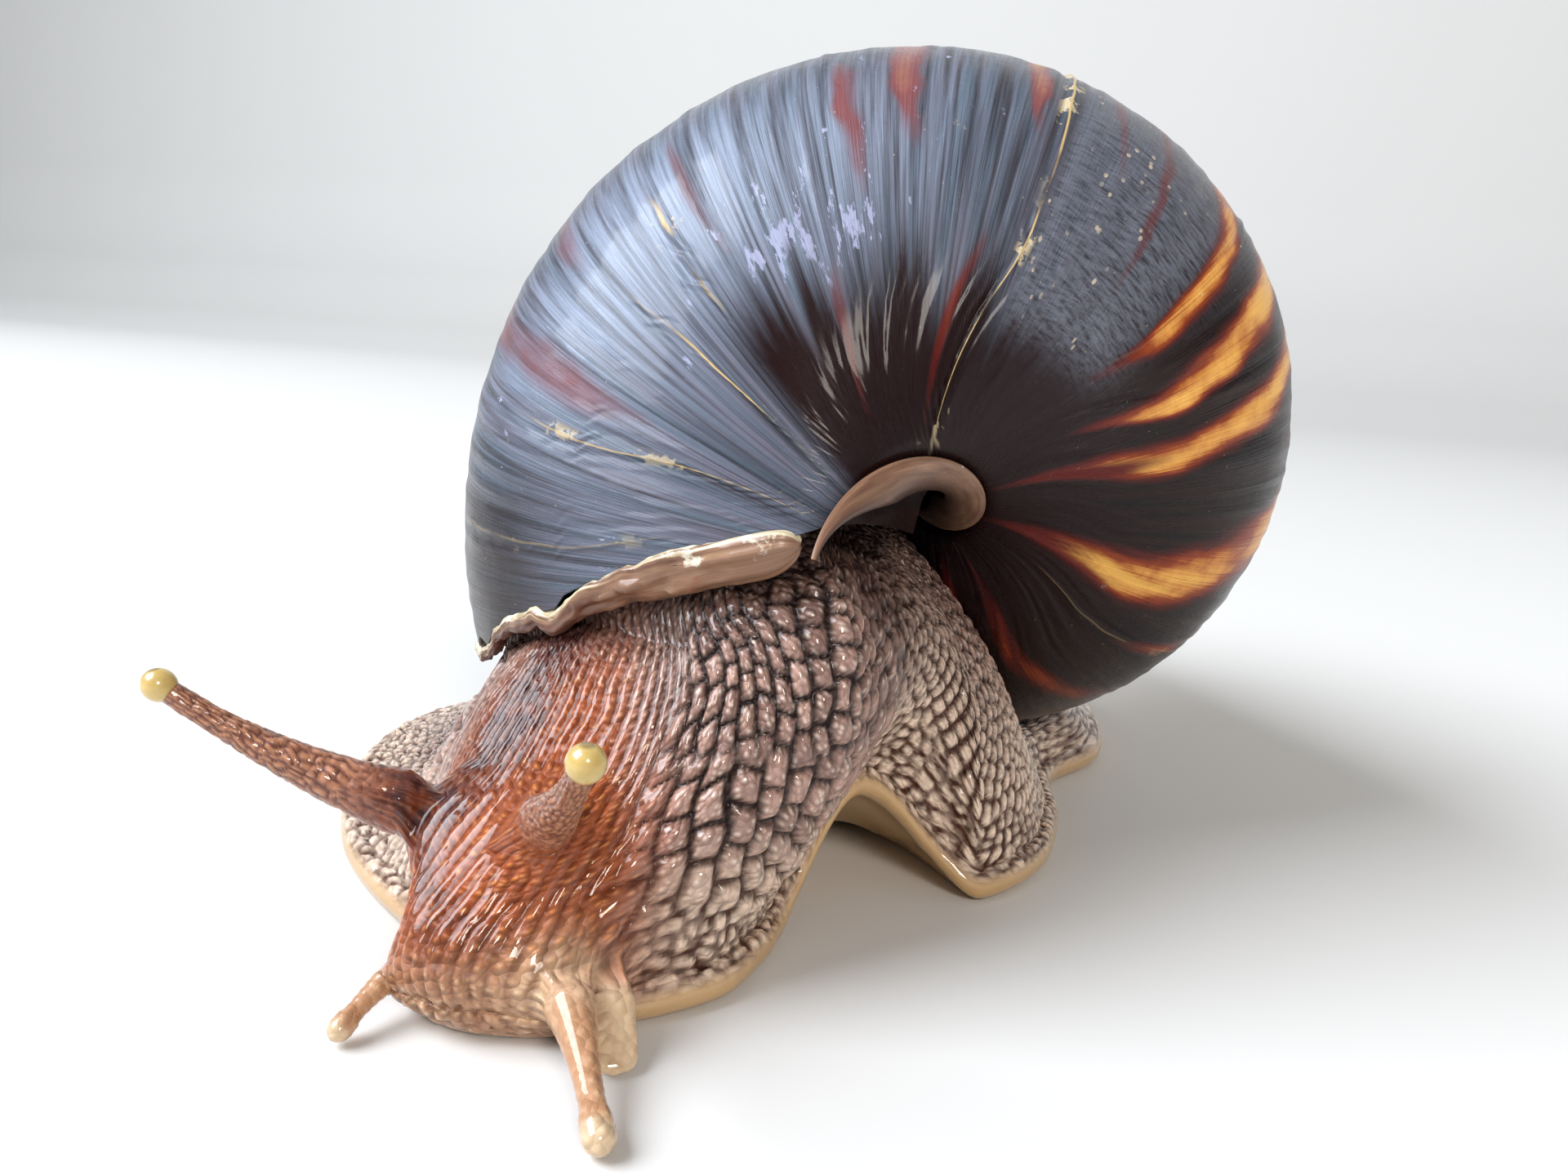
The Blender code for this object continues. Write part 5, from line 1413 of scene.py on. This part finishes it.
def eye_finish():
    """Amber bulb with a faint dark eye under its skin."""
    finish = Finish("amber_bulb", roughness=0.35, coat_weight=1.0, coat_roughness=0.05,
                    subsurface_weight=0.4, subsurface_scale=0.001)
    mottle = finish.mottle(finish.place(), 900.0, 4.0)
    amber = finish.mix(mottle, (0.46, 0.31, 0.07), (0.68, 0.52, 0.19))
    spot = finish.ramp(finish.given("spot")[0], (0.90, 0.0), (0.97, 0.55))
    colour = finish.mix(spot, amber, (0.06, 0.04, 0.03))
    finish.tree.links.new(colour.socket, finish.shader.inputs["Base Color"])
    return finish.material


# ---------------------------------------------------------------- studio

def add_floor():
    """A wide pale floor that curves up behind into a backdrop."""
    y = np.array([-3.0, -1.0, 0.9, 1.1, 1.25, 1.32, 1.34, 1.34, 1.34])
    z = np.array([0.0, 0.0, 0.0, 0.02, 0.08, 0.2, 0.5, 1.2, 2.4])
    x = np.linspace(-3, 3, 7)
    points = np.stack([np.tile(x, 9), np.repeat(y, 7), np.repeat(z, 7)], -1)
    mesh = bpy.data.meshes.new("studio_floor")
    mesh.from_pydata(points.tolist(), [], grid_faces(9, 7).tolist())
    mesh.shade_smooth()
    floor = bpy.data.objects.new("studio_floor", mesh)
    bpy.context.scene.collection.objects.link(floor)
    finish = Finish("pale_floor", roughness=0.7, base_color=(0.72, 0.71, 0.69, 1.0))
    mesh.materials.append(finish.material)


def stand(x, y, z, place):
    """Matrix that stands an object at a place with its axes along x, y and z."""
    return Matrix(np.vstack([np.column_stack([x, y, z, place]), [0, 0, 0, 1]]).tolist())


LIGHTS_MEET = (0.0, 0.0, 0.03)   # where both lights point, in metres


def add_light(name, place, size, watts, colour):
    """A rectangular light at a place in metres, turned to where the lights meet."""
    light = bpy.data.lights.new(name, "AREA")
    light.shape = "RECTANGLE"
    light.size, light.size_y = size
    light.energy = watts
    light.color = colour
    obj = bpy.data.objects.new(name, light)
    z = unit(np.subtract(place, LIGHTS_MEET))
    x = unit(np.cross([0.0, 0.0, 1.0], z))
    obj.matrix_world = stand(x, np.cross(z, x), z, place)
    bpy.context.scene.collection.objects.link(obj)


def add_camera():
    """Camera in front of the animal, a little to its left and low, looking down and turned a
    little on its own line of sight."""
    place = np.array([38.0, -112.0, 39.73]) * MM
    azimuth, pitch, roll = np.radians([20.0, 11.0, 4.0])
    right = np.array([np.cos(azimuth), np.sin(azimuth), 0.0])
    level = np.array([-np.sin(azimuth), np.cos(azimuth), 0.0])
    up = np.sin(pitch) * level + np.array([0, 0, np.cos(pitch)])
    look = np.cos(pitch) * level - np.array([0, 0, np.sin(pitch)])
    x = np.cos(roll) * right + np.sin(roll) * up
    y = -np.sin(roll) * right + np.cos(roll) * up
    camera = bpy.data.cameras.new("camera")
    camera.lens = 30.0
    camera.sensor_width = 36.0
    camera.clip_start = 0.005
    obj = bpy.data.objects.new("camera", camera)
    obj.matrix_world = stand(x, y, -look, place)
    bpy.context.scene.collection.objects.link(obj)
    bpy.context.scene.camera = obj


def main():
    """Make the finishes, the pieces, the studio and the camera."""
    shell, pale, skin, amber = shell_finish(), pale_finish(), skin_finish(), eye_finish()
    add_last_whorl(shell)
    add_spire(shell)
    add_lip(pale)
    add_columella(pale)
    add_skin(skin)
    for side, (root, tip, *_) in UPPER_TENTACLES.items():
        add_eye("eye_" + side, tip, root, amber)
    add_floor()
    add_light("sky", (-0.95, -0.62, 1.15), (1.25, 1.0), 44.0, (0.88, 0.93, 1.0))
    add_light("side", (0.9, -1.2, 0.9), (0.40, 0.40), 13.0, (1.0, 0.93, 0.84))
    world = bpy.data.worlds.new("studio")
    world.use_nodes = True
    world.node_tree.nodes["Background"].inputs["Color"].default_value = (0.9, 0.95, 1.0, 1.0)
    world.node_tree.nodes["Background"].inputs["Strength"].default_value = 0.3
    bpy.context.scene.world = world
    bpy.context.scene.view_settings.view_transform = "Standard"
    add_camera()


main()
bpy.context.view_layer.update()
